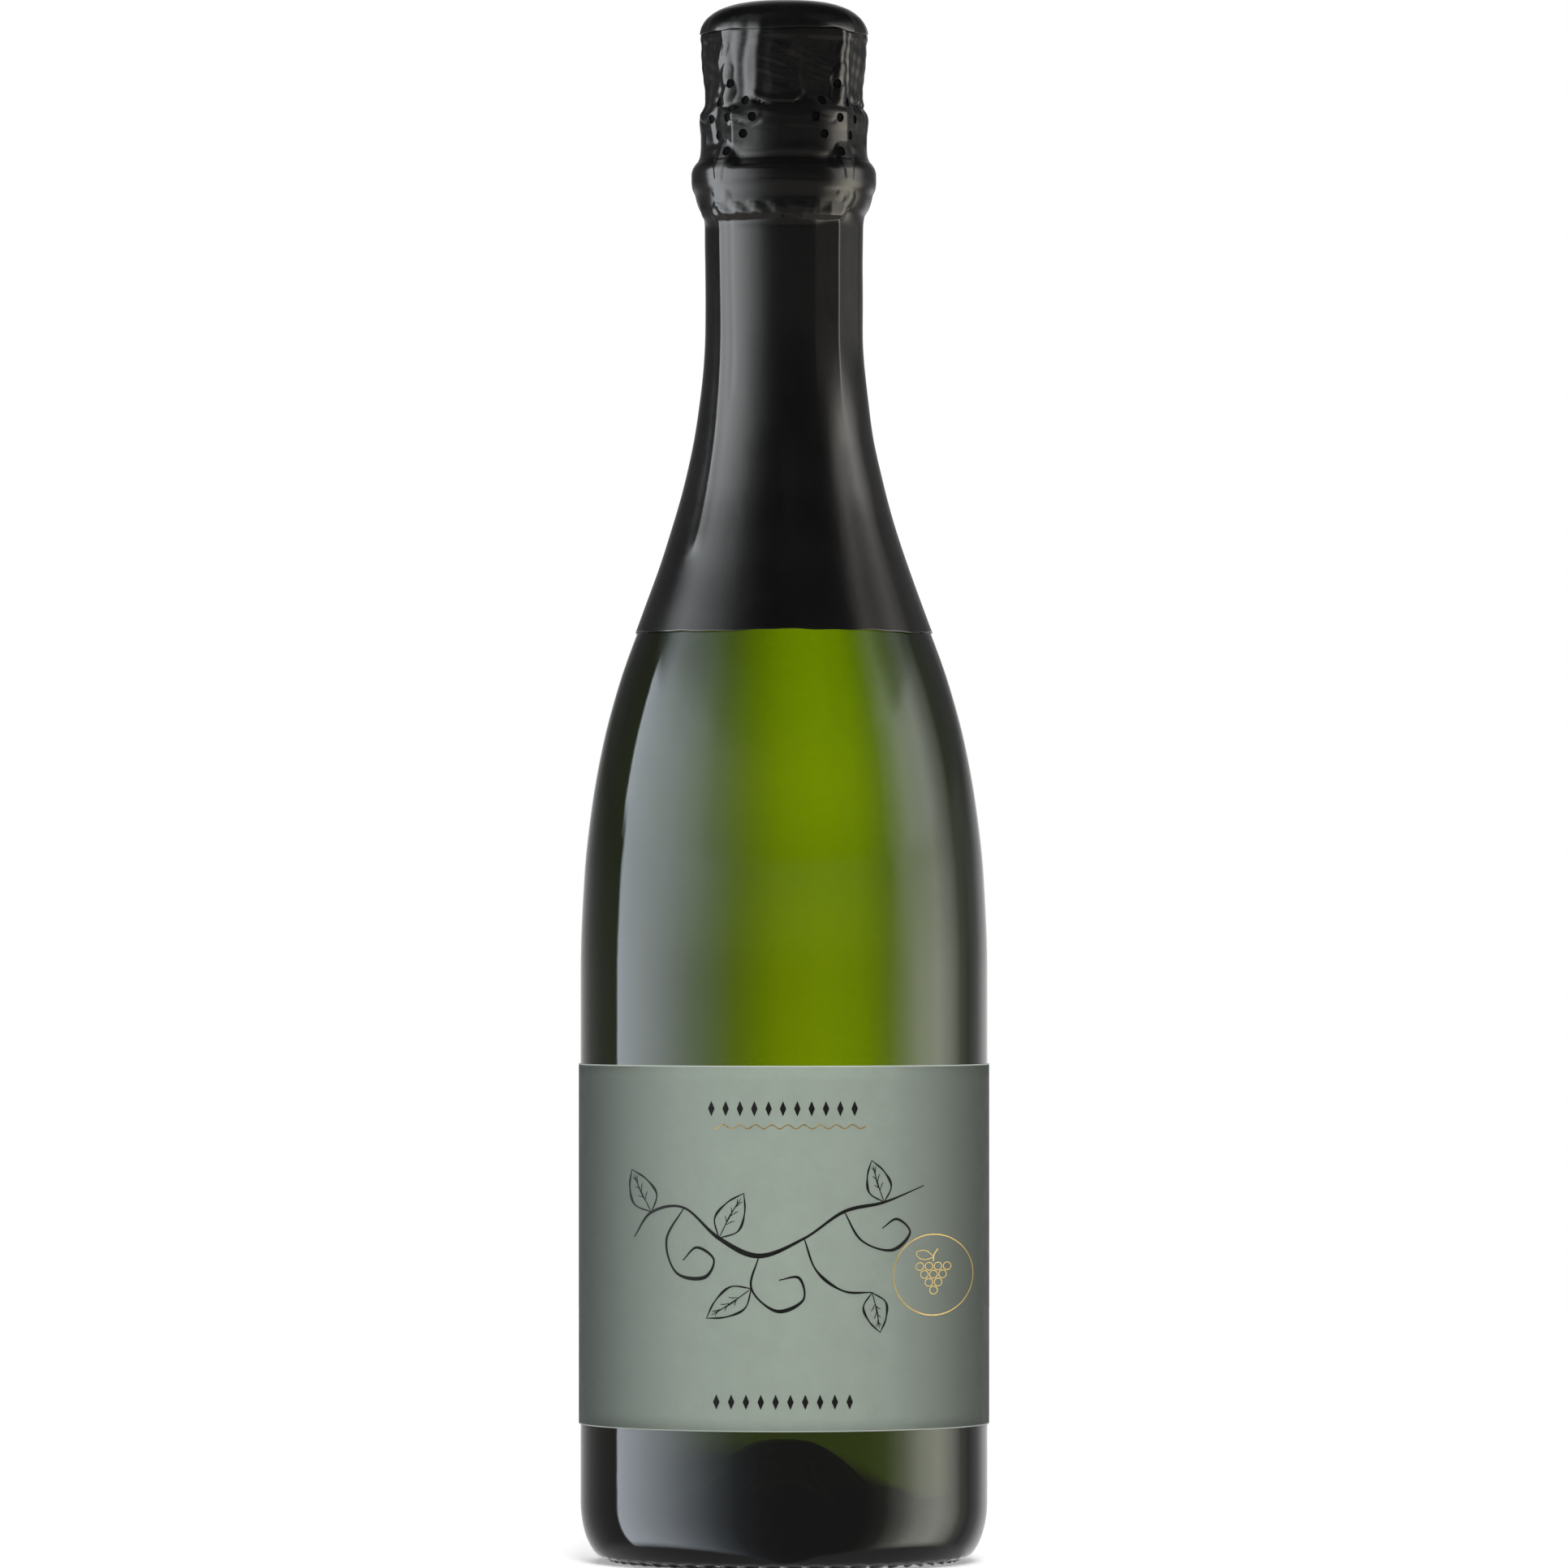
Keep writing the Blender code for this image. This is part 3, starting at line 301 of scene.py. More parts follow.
class Finish:
    """A grained material.

    The grain is (fine scale, patch scale, smoothest, roughest), the tones are those of its dark and light
    patches, the relief is the bumps' (depth, strength), and the rest are the shader's own sockets.
    """

    def __init__(self, name, grain, tones=(), relief=(), **sockets):
        self.made, self.tree, self.shader = new_material(name)
        self.place = object_place(self.tree)
        named = dict(zip(("Grain_Scale", "Patch_Scale", "Smoothest", "Roughest"), grain))
        self.grain = new_node(self.tree, "Group", node_tree=GRAIN, Place=self.place, **named).outputs
        self.set(Roughness=self.grain["Roughness"], **sockets)
        if tones:
            self.tone = ramp(self.tree, self.grain["Mottle"], list(zip((0.3, 0.7), tones)))
            self.set(Base_Color=self.tone)
        if relief:
            self.press(self.grain["Height"], *relief)

    def set(self, **sockets):
        feed(self.tree, self.shader, **sockets)

    def press(self, height, depth, strength):
        bumps = new_node(self.tree, "Bump", Height=height, Distance=depth, Strength=strength)
        self.set(Normal=bumps.outputs["Normal"])

    def noise(self, scale, detail, stretch=(1.0, 1.0, 1.0)):
        stretched = new_node(self.tree, "Mapping", Vector=self.place, Scale=stretch).outputs["Vector"]
        return new_node(self.tree, "TexNoise", Vector=stretched, Scale=scale, Detail=detail).outputs["Fac"]


def see_through(name, grain, ior, density, colour):
    """A clear body that colours the light with its depth."""
    clear = Finish(name, grain, Base_Color=(1.0, 1.0, 1.0), Transmission_Weight=1.0, IOR=ior)
    depth = new_node(clear.tree, "VolumeAbsorption", Density=density, Color=colour)
    feed(clear.tree, clear.tree.nodes["Material Output"], Volume=depth.outputs["Volume"])
    return clear


def bottle_glass():
    glass = see_through("olive_bottle_glass", (120, 14, 0.0, 0.015), 1.52, 960.0, (0.749, 0.815, 0.0))
    glass.press(glass.noise(420, 2), 0.00002, 0.25)
    return glass.made


def straw_wine():
    return see_through("straw_wine", (60, 10, 0.0, 0.005), 1.34, 7.0, (0.87, 0.80, 0.0)).made


def satin_foil():
    foil = Finish("black_satin_foil", (650, 70, 0.13, 0.21), ((0.0030, 0.0030, 0.0031), (0.0052, 0.0052, 0.0053)),
                  Specular_Tint=(1.0, 0.94, 0.87), Specular_IOR_Level=0.62)
    crinkle = foil.noise(230, 2, (1.0, 1.0, 0.35))
    foil.press(maths(foil.tree, "ADD", maths(foil.tree, "MULTIPLY", foil.grain["Height"], 0.12), crinkle),
               0.00012, 0.35)
    return foil.made


def silver_inside():
    return Finish("silver_foil_inside", (800, 120, 0.28, 0.42), ((0.55, 0.55, 0.54), (0.70, 0.70, 0.69)),
                  (0.00006, 0.5), Metallic=1.0).made


# Painted shade: the black finish of the sheet that darkens the vents
def vent_shade_liner():
    return Finish("vent_shade_liner", (900, 90, 0.7, 0.9), (0.0008, 0.0016), Specular_IOR_Level=0.1).made


def sage_paper():
    """Sage green label paper with painted shade that darkens it towards the sides, and a pale trimmed edge."""
    paper = Finish("sage_label_paper", (1500, 260, 0.52, 0.66), ((0.270, 0.315, 0.268), (0.300, 0.348, 0.297)),
                   (0.00005, 0.5), Specular_IOR_Level=0.25)
    tree = paper.tree
    axes = axes_of(tree, paper.place)
    # Painted shade: the paper's colour darkens towards the sides, as a front light falls off round the body
    side = maths(tree, "MULTIPLY", maths(tree, "ABSOLUTE", azimuth_of(tree, axes)), 1.0 / math.radians(100.0))
    depth = ramp(tree, side, ((0.0, 1.0), (0.19, 0.94), (0.30, 0.84), (0.45, 0.575), (0.56, 0.395), (0.70, 0.235),
                              (1.0, 0.085)))
    middle, half = (LABEL_TOP + LABEL_FOOT) / 2 * MM, (LABEL_TOP - LABEL_FOOT) / 2 * MM
    off = maths(tree, "ABSOLUTE", maths(tree, "SUBTRACT", axes["Z"], middle))
    edge = maths(tree, "GREATER_THAN", off, half - LABEL_TRIM * MM)
    paper.set(Base_Color=blend(tree, edge, multiplied(tree, paper.tone, depth), (0.50, 0.54, 0.49)))
    return paper.made


def stamped_gold():
    return Finish("stamped_gold", (1400, 300, 0.25, 0.45), ((0.36, 0.24, 0.06), (0.62, 0.46, 0.16)),
                  (0.00003, 0.4), Metallic=0.55).made


def pen_ink():
    return Finish("dark_pen_ink", (1800, 400, 0.4, 0.55), ((0.007, 0.007, 0.006), (0.014, 0.014, 0.013)),
                  Specular_IOR_Level=0.12).made


def granule_cork():
    cork = Finish("pressed_granule_cork", (1500, 150, 0.75, 0.9), ((0.82, 0.80, 0.78), (1.0, 1.0, 1.0)))
    speckle = new_node(cork.tree, "Group", node_tree=SPECKLE, Place=cork.place, Cell_Scale=620.0,
                       Joint=0.10, Light_Tone=(0.62, 0.44, 0.26), Dark_Tone=(0.36, 0.22, 0.11)).outputs
    cork.set(Base_Color=multiplied(cork.tree, speckle["Color"], cork.tone))
    cork.press(speckle["Height"], 0.00012, 0.8)
    return cork.made


def natural_cork():
    cork = Finish("natural_cork", (1200, 160, 0.7, 0.85))
    bark = cork.noise(420, 4, (0.35, 1.6, 1.0))
    cork.set(Base_Color=ramp(cork.tree, bark, ((0.30, (0.28, 0.16, 0.08)), (0.42, (0.58, 0.40, 0.23)),
                                               (0.75, (0.70, 0.52, 0.32)))))
    cork.press(bark, 0.00015, 0.8)
    return cork.made


def tinned_wire():
    return Finish("tinned_steel_wire", (1500, 200, 0.22, 0.38), ((0.46, 0.46, 0.45), (0.66, 0.66, 0.64)),
                  (0.00003, 0.5), Metallic=1.0).made


def lacquered_plate():
    """Black lacquer with a gold ring and a bare metal rim."""
    plate = Finish("lacquered_cork_plate", (1100, 140, 0.18, 0.30), (), (0.00003, 0.4), Metallic=0.4)
    share = maths(plate.tree, "MULTIPLY", radius_of(plate.tree, axes_of(plate.tree, plate.place)),
                  1 / (PLATE_RADIUS * MM))
    lacquer, gold, rim = 0.020, (0.42, 0.31, 0.12), (0.50, 0.50, 0.48)
    plate.set(Base_Color=ramp(plate.tree, share, (
        (0.52, lacquer), (0.54, gold), (0.57, gold), (0.59, lacquer), (0.93, lacquer), (0.96, rim))))
    return plate.made


# ---------------------------------------------------------------- sizes, in mm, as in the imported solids

BODY_RADIUS = 41.35
BODY_TOP = 120.0
NECK_BASE = 250.0
SHOULDER = (
    (0, 1), (0.145, 0.971), (0.246, 0.917), (0.348, 0.827), (0.449, 0.691), (0.551, 0.505), (0.652, 0.322),
    (0.754, 0.171), (0.855, 0.066), (1, 0),
)
NECK_RADIUS = 15.6
LIP_TOP = 294.3
BORE_RADIUS = 9.0
FILL_HEIGHT = 220.0
BEARING_RADIUS = 35.3
CORK_TOP = 313.0
CORK_BOTTOM = 269.3
PLATE_RADIUS = 12.9
FOIL_EDGE = 188.3
FOIL_SPLIT = 284.5
LABEL_FOOT = 27.9
LABEL_TOP = 100.9
LABEL_HALF_TURN = 101.25
LABEL_RADIUS = 41.7
LABEL_TRIM = 0.22
KNURL_COUNT = 52
BODY_WALL = 3.6
NECK_WALL = 5.2
FOIL_WALL = 0.12
FOIL_OVER_GLASS = 0.42
INK_LIFT = 0.035
CORK_DISC = 6.0
CORK_GLUE = 0.3
# Faces round the glass and round the foil
GLASS_AROUND = 416
FOIL_AROUND = 432

# ---------------------------------------------------------------- glass and wine


def quarter_turn():
    """The sine and the cosine at 13 steps of a quarter turn."""
    return [(math.sin(math.pi / 2 * i / 12), math.cos(math.pi / 2 * i / 12)) for i in range(13)]


def shoulder_point(height, spread):
    """(height, radius) on the shoulder's outer side, from shares of the way up and of the way out."""
    return BODY_TOP + (NECK_BASE - BODY_TOP) * height, NECK_RADIUS + (BODY_RADIUS - NECK_RADIUS) * spread


def glass_outside():
    """(radius, height) of the glass's outer side from the bearing ring to the lip's top."""
    points = [(BEARING_RADIUS + (BODY_RADIUS - BEARING_RADIUS) * s, 12.0 * (1 - c)) for s, c in quarter_turn()]
    points += [(BODY_RADIUS, z) for z in np.arange(20.0, 119.0, 8.0)]
    knots = [(100.0, BODY_RADIUS)] + [shoulder_point(*spot) for spot in SHOULDER] + [(275.0, NECK_RADIUS)]
    heights = np.arange(120.0, 277.0, 3.0)
    points += list(zip(eased(knots, heights), heights))
    finish = (
        (278.3, 15.6), (278.9, 16.3), (279.6, 17), (280.4, 17.35), (281.2, 17.4), (282.2, 17.2), (283.2, 15.6),
        (284.1, 13.3), (286, 13.2), (289.6, 13.2), (290.4, 13.7), (291.4, 14.25), (292.4, 14.3), (293.3, 14.1),
        (294, 13.4),
    )
    heights = np.arange(278.3, 294.0, 0.45)
    points += list(zip(eased(finish, heights), heights))
    return points + [(13.0, LIP_TOP), (11.6, LIP_TOP)]


def glass_lining():
    """(radius, height) of the inner wall, from the mouth down to the middle of the punt."""
    inner, floor_radius, floor = BODY_RADIUS - BODY_WALL, 30.0, 6.0
    points = [(10.4, LIP_TOP), (9.5, 294.1), (9.15, 293.6), (BORE_RADIUS, 292.7)]
    points += [(BORE_RADIUS, z) for z in np.arange(289.0, 266.0, -3.0)]
    walls = [(100.0, inner), (256.0, 10.2), (268.0, BORE_RADIUS)]
    for share, spread in SHOULDER[::2] + SHOULDER[-1:]:
        height, outer = shoulder_point(share, spread)
        walls.append((height, outer - (NECK_WALL + (BODY_WALL - NECK_WALL) * spread)))
    heights = np.arange(266.0, 101.0, -5.0)
    points += list(zip(eased(sorted(walls), heights), heights))
    points += [(inner, z) for z in np.arange(100.0, 20.0, -9.0)]
    points += [(floor_radius + (inner - floor_radius) * c, floor + 11.0 * (1 - s)) for s, c in quarter_turn()]
    rise = ((0, 25.3), (4.2, 24.5), (8.1, 21.6), (13.5, 15.4), (18.6, 10.9), (24.6, 7.35), (floor_radius, floor))
    radii = np.arange(28.5, 0.5, -1.5)
    return points + list(zip(radii, eased(rise, radii)))


def glass_underside():
    """(radius, height) under the base, from the bearing ring in to the middle of the punt."""
    mouth = 32.9
    rise = [(0.0, 20.5), (4.6, 19.5), (8.9, 16.4), (14.8, 9.8), (20.4, 5.1), (27.0, 1.45), (mouth, 0.0)]
    radii = np.concatenate([[35.05, 34.6, 34.1, 33.6, 33.2], np.arange(32.4, 0.5, -1.6)])
    heights = np.where(radii < mouth, eased(rise, np.minimum(radii, mouth)), 0.0)
    return list(zip(radii, heights))


def geometry_group(name, **values):
    """A Geometry Nodes group that changes a shape and gives it one finish."""
    values = {title.replace("_", " "): value for title, value in values.items()}
    return node_group(name, "GeometryNodeTree", {"Geometry": "Geometry", **values, "Finish": "Material"},
                      {"Geometry": "Geometry"})


def put_out(tree, shape, given, out):
    """Ends a Geometry Nodes group: the shape made real, in its finish."""
    real = new_node(tree, "GeometryNodeRealizeInstances", Geometry=shape)
    dressed = new_node(tree, "GeometryNodeSetMaterial", Geometry=real.outputs[0], Material=given["Finish"])
    feed(tree, out, Geometry=dressed.outputs[0])
    return tree


def run_group(piece, group, **values):
    """Runs a Geometry Nodes group on a piece, its inputs set by their sockets' identifiers."""
    modifier = piece.modifiers.new(group.name, "NODES")
    modifier.node_group = group
    named = {item.name: item.identifier for item in group.interface.items_tree
             if item.item_type == "SOCKET" and item.in_out == "INPUT"}
    for title, value in values.items():
        modifier[named[title.replace("_", " ")]] = value
    return modified(piece)


def knurl_group():
    """Presses slanted notches into the bearing ring."""
    tree, given, out = geometry_group("bearing_ring_knurling", Notch_Count=52.0, Notch_Depth=0.0006, Slant=2100.0,
                                      Ring_Radius=0.0350, Ring_Half_Width=0.0022, Highest=0.0016)

    def steep(share, slope):
        """One inside, falling to nought at the edge."""
        inside = maths(tree, "MAXIMUM", maths(tree, "SUBTRACT", 1.0, share), 0.0)
        return maths(tree, "MINIMUM", maths(tree, "MULTIPLY", inside, slope), 1.0)

    axes = axes_of(tree, new_node(tree, "GeometryNodeInputPosition").outputs[0])
    off = maths(tree, "SUBTRACT", radius_of(tree, axes), given["Ring Radius"])
    phase = maths(tree, "ADD", maths(tree, "MULTIPLY", azimuth_of(tree, axes), given["Notch Count"]),
                  maths(tree, "MULTIPLY", off, given["Slant"]))
    notch = new_node(tree, "MapRange", interpolation_type="SMOOTHSTEP", From_Min=-0.75, From_Max=-0.15,
                     Value=maths(tree, "COSINE", phase)).outputs["Result"]
    band = steep(maths(tree, "DIVIDE", maths(tree, "ABSOLUTE", off), given["Ring Half Width"]), 2.0)
    low = steep(maths(tree, "DIVIDE", axes["Z"], given["Highest"]), 3.0)
    press = maths(tree, "MULTIPLY", maths(tree, "MULTIPLY", notch, maths(tree, "MULTIPLY", band, low)),
                  given["Notch Depth"])
    lift = new_node(tree, "CombineXYZ", Z=press).outputs[0]
    moved = new_node(tree, "GeometryNodeSetPosition", Geometry=given["Geometry"], Offset=lift).outputs[0]
    return put_out(tree, moved, given, out)


def make_glass_shell(glass):
    outside = glass_outside()
    # The ring stands out a little below the heel
    step = [(35.48, 0.03), (35.62, 0.12), (35.72, 0.28), (35.86, 0.48), (36.15, 0.58), (36.7, 0.64)]
    heel = [point for point in outside if point[1] > 0.8]
    rings = turned_rings(glass_underside()[::-1] + outside[:1] + step + heel + glass_lining(), GLASS_AROUND)
    shell = finished(ring_mesh("glass_shell", rings, True, True), glass)
    return run_group(shell, knurl_group(), Notch_Count=float(KNURL_COUNT), Notch_Depth=0.85 * MM, Finish=glass)


def make_wine(wine):
    """The wine wets the glass: it stands a hair inside the wall, so that no air shows between them."""
    wall = [(r + 0.05, z - 0.05) for r, z in reversed(glass_lining()) if z < FILL_HEIGHT - 0.5]
    brim = wall[-1][0]
    top = [(brim, FILL_HEIGHT + 0.25), (brim - 0.25, FILL_HEIGHT + 0.06), (brim - 0.9, FILL_HEIGHT), (4, FILL_HEIGHT)]
    return finished(ring_mesh("wine_body", turned_rings(wall + top, 192), True, True), wine)


# ---------------------------------------------------------------- foil

# (height, radius) of the foil's outside from the collar's foot to the fold under the top disc
FOIL_OUTLINE = (
    (262, 16.1), (268, 16.1), (271, 16.12), (273, 16.35), (274.5, 17.2), (276, 17.75), (277.4, 18.08), (278.6, 18.6),
    (280.2, 18.8), (281.6, 18.8), (282.6, 18.6), (283.5, 18.1), (284.5, 17.35), (285.6, 17.02), (287.5, 16.9),
    (289.5, 16.92), (291, 17.1), (292.6, 17.2), (293.6, 17.1), (294.6, 16.6), (295.6, 16.2), (297, 16.05),
    (299, 16.1), (301, 16.3), (303, 16.55), (305, 16.75), (306.6, 16.85), (308, 16.85), (309.2, 17.05), (310, 17),
    (311, 16.55), (312, 16),
)
# The same under the collar, where the foil lies over the twisted tail of the belt wire
TAIL_SWELL = (
    (269.4, 16.1), (270.6, 16.18), (271.5, 16.52), (272.3, 17.1), (273, 17.58), (274.2, 17.84), (275.6, 17.92),
    (277, 18.1), (278.6, 18.6),
)
# (height, radius) of the top disc, from its rim to its middle
DISC_OUTLINE = (
    (309.9, 17.02), (310.6, 16.92), (311.4, 16.7), (312.3, 16.25), (313.1, 15.72), (313.8, 15.05), (314.5, 14.25),
    (315.1, 13.35), (315.6, 12.2), (316, 11.05), (316.35, 9.7), (316.62, 8), (316.82, 6), (316.93, 4), (316.98, 2),
)
# top azimuth, foot azimuth, wander, phase (degrees), half width (degrees), lift (mm), low and high (mm)
HOOD_FOLDS = (
    (-37, -41, 1.2, 0.4, 3, -0.13, 300.5, 311.5), (-26.8, -32.5, 1, 1.2, 3.4, -0.28, 295.5, 310.5),
    (-15.8, -22.8, 0.6, 0, 3.8, 0.27, 295, 311.5), (-56, -54, 2, 2, 3.4, -0.1, 286, 297),
    (-63, -61, 2, 2.8, 3.4, 0.08, 288, 311), (-71, -73, 2, 0.9, 4.2, -0.1, 289, 311),
    (-83, -80, 1.6, 1.9, 4.2, 0.16, 292, 311), (-8, -10, 1.6, 0.8, 2.2, 0.03, 297.5, 309),
    (9, 13, 1.2, 2.1, 2, 0.05, 297, 306), (54.5, 55.5, 1.4, 0.5, 2.6, 0.26, 297, 311),
    (62, 62, 1.2, 1.1, 3, -0.12, 289, 311), (73, 75, 1.6, 1.7, 3.6, 0.14, 290, 311),
    (84, 82, 1.6, 2.6, 4, -0.16, 291, 311), (98, 101, 2.4, 0.2, 4.4, -0.3, 295, 311),
    (110, 108, 2.2, 1.7, 5, 0.26, 294, 311), (122, 126, 2.6, 0.9, 5.2, -0.38, 295, 311),
    (135, 134, 1.6, 2.2, 3, 0.2, 286, 311), (147, 150, 2.2, 0.3, 5, -0.34, 294, 311),
    (161, 158, 2, 1.3, 4.6, 0.22, 296, 311), (172, 176, 2.6, 2.3, 5.6, -0.26, 295, 311),
    (-172, -168, 2, 0.7, 4.6, 0.22, 296, 311), (-158, -160, 2.2, 1.9, 5.2, -0.34, 295, 311),
    (-146, -143, 2, 2.9, 4.4, 0.26, 294, 311), (-135, -134, 1.4, 0.8, 3, 0.2, 286, 311),
    (-123, -126, 2.4, 1.5, 5, -0.36, 295, 311), (-110, -113, 2.2, 2.5, 4.6, 0.24, 294, 311),
    (-97, -95, 2, 0.1, 4.6, -0.28, 293, 311),
)
SKIRT_FOLDS = (
    (-54, -46.5, 0.4, 0, 3.6, 0.2, 205, 274.5), (-43, -39.5, 0.4, 0.6, 2.4, -0.07, 236, 274),
    (96, 92, 0.9, 0.2, 4, -0.09, 189, 272), (118, 121, 0.9, 0.7, 3.8, 0.1, 190, 272),
    (150, 153, 0.8, 2.1, 3.6, -0.09, 190, 272), (-164, -160, 0.8, 2.7, 3.2, 0.1, 190, 272),
    (-131, -127, 0.9, 1.4, 4, -0.08, 191, 272), (-101, -104, 0.8, 0.5, 3.6, 0.09, 190, 272),
)
# azimuth, half width (degrees), height, bend, lift and drop (mm)
LIP_FOLDS = (
    (-5, 22, 295, 0.9, 0.16, 0.5), (-28, 14, 291.4, 0.25, 0.16, 0.26), (86, 30, 295.4, 0.7, 0.2, 0.3),
    (150, 26, 291.6, 0.5, 0.14, 0.24), (-175, 28, 295.2, 0.8, 0.2, 0.32), (-112, 24, 294.9, 0.7, 0.18, 0.3),
    (28, 12, 291.8, 0.3, 0.08, 0.12), (-70, 14, 292, 0.5, 0.12, 0.2),
)
GLASS_OUTLINE = [p for p in glass_outside() if 20.0 < p[1] < 277.5]


def folds(azimuth, height, table):
    """Upright folds in the foil: each wanders from its top azimuth to its foot azimuth."""
    relief = np.zeros_like(azimuth)
    for top, foot, wander, phase, width, lift, low, high in table:
        share = (height - low) / (high - low)
        centre = foot + (top - foot) * share + wander * np.sin(phase + share * 7.0)
        fade = window(low - 1.2, low + 1.5, high - 1.2, high + 0.6, height)
        relief += lift * fade * hump(wrapped(azimuth - centre), 0.0, width)
    return relief


def lip_folds(azimuth, height):
    """Creases where the foil tucks in over the lip and the bead's foot: each a swell with a tuck just below."""
    relief = np.zeros_like(azimuth)
    for middle, half, line, bend, lift, drop in LIP_FOLDS:
        off = wrapped(azimuth - middle)
        mask = smoothstep(0.0, 0.35, 1 - np.abs(off) / half)
        centre = line + bend * np.abs(off) / half * 1.4 + 0.25 * np.sin(off * 0.32 + middle)
        relief += mask * (lift * hump(height, centre + 0.75, 0.75) - drop * hump(height, centre - 0.30, 0.42))
    return relief


def collar_groove(azimuth, height):
    """The foil draws in under the lip between the legs of the cage, at the front and the back."""
    between_legs = np.abs((azimuth + 90.0) % 180.0 - 90.0)
    mask = 1 - smoothstep(32.0, 40.5, between_legs)
    return -1.35 * mask * hump(height, 283.8, 1.10)


COVER_FOOT, COVER_ROW, COVER_TURN = 266.0, 0.25, 0.5


def softened(grid, passes):
    """A grid of height and azimuth with its steps smoothed."""
    for _ in range(passes):
        grid = (np.roll(grid, 1, axis=1) + 2 * grid + np.roll(grid, -1, axis=1)) / 4
        padded = np.concatenate([grid[:1], grid, grid[-1:]])
        grid = (padded[:-2] + 2 * grid + padded[2:]) / 4
    return grid


def wire_cover():
    """How far out the foil has to lie over the cage's wires, on a grid of height and azimuth."""
    rows, columns = int(50.0 / COVER_ROW), int(360.0 / COVER_TURN)
    foil = eased(FOIL_OUTLINE, np.clip(COVER_FOOT + COVER_ROW * np.arange(rows), 266.0, 312.0))[:, None]
    cover = np.zeros((rows, columns))
    for node, fall in (("cage_frame_wire", 0.20), ("cage_belt_wire", 0.42)):
        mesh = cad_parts[node].data
        ends = np.array([[mesh.vertices[k].co for k in edge.vertices] for edge in mesh.edges]) / MM
        points = np.concatenate([ends[:, 0] * (1 - share) + ends[:, 1] * share for share in np.arange(0.0, 1.0, 0.17)])
        points = points[np.hypot(points[:, 0], points[:, 1]) > 15.0]
        radius = np.hypot(points[:, 0], points[:, 1])
        row = (points[:, 2] - COVER_FOOT) / COVER_ROW
        column = np.degrees(np.arctan2(points[:, 0], -points[:, 1])) % 360.0 / COVER_TURN
        for i in range(-10, 11):
            for j in range(-18, 19):
                at_row = np.round(row).astype(int) + i
                at_column = np.round(column).astype(int) + j
                rise = (at_row - row) * COVER_ROW
                run = (at_column - column) * np.radians(COVER_TURN) * radius
                fits = (at_row >= 0) & (at_row < rows)
                drape = radius + 0.27 - fall * (rise ** 2 + run ** 2)
                np.maximum.at(cover, (at_row[fits], at_column[fits] % columns), drape[fits])
    near = softened((cover > foil - 0.2).astype(float), 3)
    return foil + softened(np.maximum(cover - foil, 0.0), 2) - 2.0 * (1 - near)


COVER = wire_cover()


def cover_radius(azimuth, height):
    """The wires' cover between the points of its grid."""
    row = np.clip((height - COVER_FOOT) / COVER_ROW, 0, COVER.shape[0] - 1.001)
    column = (azimuth % 360.0) / COVER_TURN
    i, j = row.astype(int), column.astype(int)
    u, v = row - i, column - j
    j, k = j % COVER.shape[1], (j + 1) % COVER.shape[1]
    low = COVER[i, j] * (1 - v) + COVER[i, k] * v
    high = COVER[i + 1, j] * (1 - v) + COVER[i + 1, k] * v
    return low * (1 - u) + high * u


def over_both(first, second, ease=0.45):
    """The greater of two radii, eased where they meet."""
    off = np.abs(first - second)
    return np.maximum(first, second) + ease / 4 * np.clip(1 - off / ease, 0, 1) ** 2


def flat_between(azimuth, first, last):
    """How far a flat lies inside the round, per mm of radius, between two upright creases."""
    half = (last - first) / 2
    off = wrapped(azimuth - (first + last) / 2)
    inside = np.cos(np.radians(half)) / np.cos(np.radians(np.clip(off, -half, half))) - 1
    return np.where(np.abs(off) < half, inside, 0.0)


def sharp_ridge(azimuth, round_radius, first, second):
    """How far two flats that meet in a ridge stand off the round.

    Each is (its distance from the axis, the azimuth it faces).
    """
    (near, faced), (far, other) = first, second
    step = np.radians(np.clip(np.abs(np.stack([azimuth - faced, azimuth - other])), 0, 60))
    both = np.minimum(near / np.cos(step[0]), far / np.cos(step[1]))
    ends = [faced + math.copysign(math.degrees(math.acos(min(near / round_radius, 1))), faced - other),
            other + math.copysign(math.degrees(math.acos(min(far / round_radius, 1))), other - faced)]
    return np.where((azimuth > min(ends)) & (azimuth < max(ends)), both - round_radius, 0.0)


# The foil's radius beside the front legs, where it is flat
FLAT_RADIUS = 16.9


def leg_facets(azimuth, height):
    """The foil is stretched flat beside the front legs, which leaves sharp creases."""
    crease = np.interp(height, [286, 288, 292.3, 299.7, 303, 304.7, 307.1, 310.8],
                       [47.5, 48.5, 47, 46.2, 44.4, 45, 47.6, 45.2])
    far_crease = np.interp(height, [297, 299.8, 301.4, 304, 306, 308, 310.5],
                           [-58.4, -54.5, -53.1, -53.8, -49.7, -47.1, -48.6])
    under_disc = 1 - 0.55 * smoothstep(309.5, 311.5, height)
    flats = FLAT_RADIUS * under_disc * (
        flat_between(azimuth, crease - 43.0, crease - 1.2) * smoothstep(294.5, 298.0, height)
        + flat_between(azimuth, crease + 1.2, crease + 36.0) * smoothstep(286.0, 288.5, height)
        + flat_between(azimuth, far_crease - 30.0, far_crease) * smoothstep(296.5, 300.5, height))
    down_neck = sharp_ridge(azimuth, 15.9, (15.84, 28.0), (15.65, 60.0)) * window(226.0, 248.0, 270.5, 273.5, height)
    round_lip = sharp_ridge(azimuth, 17.2, (17.2, -20.6), (16.75, -57.0)) * window(285.6, 287.8, 293.2, 295.2, height)
    return flats + down_neck + round_lip


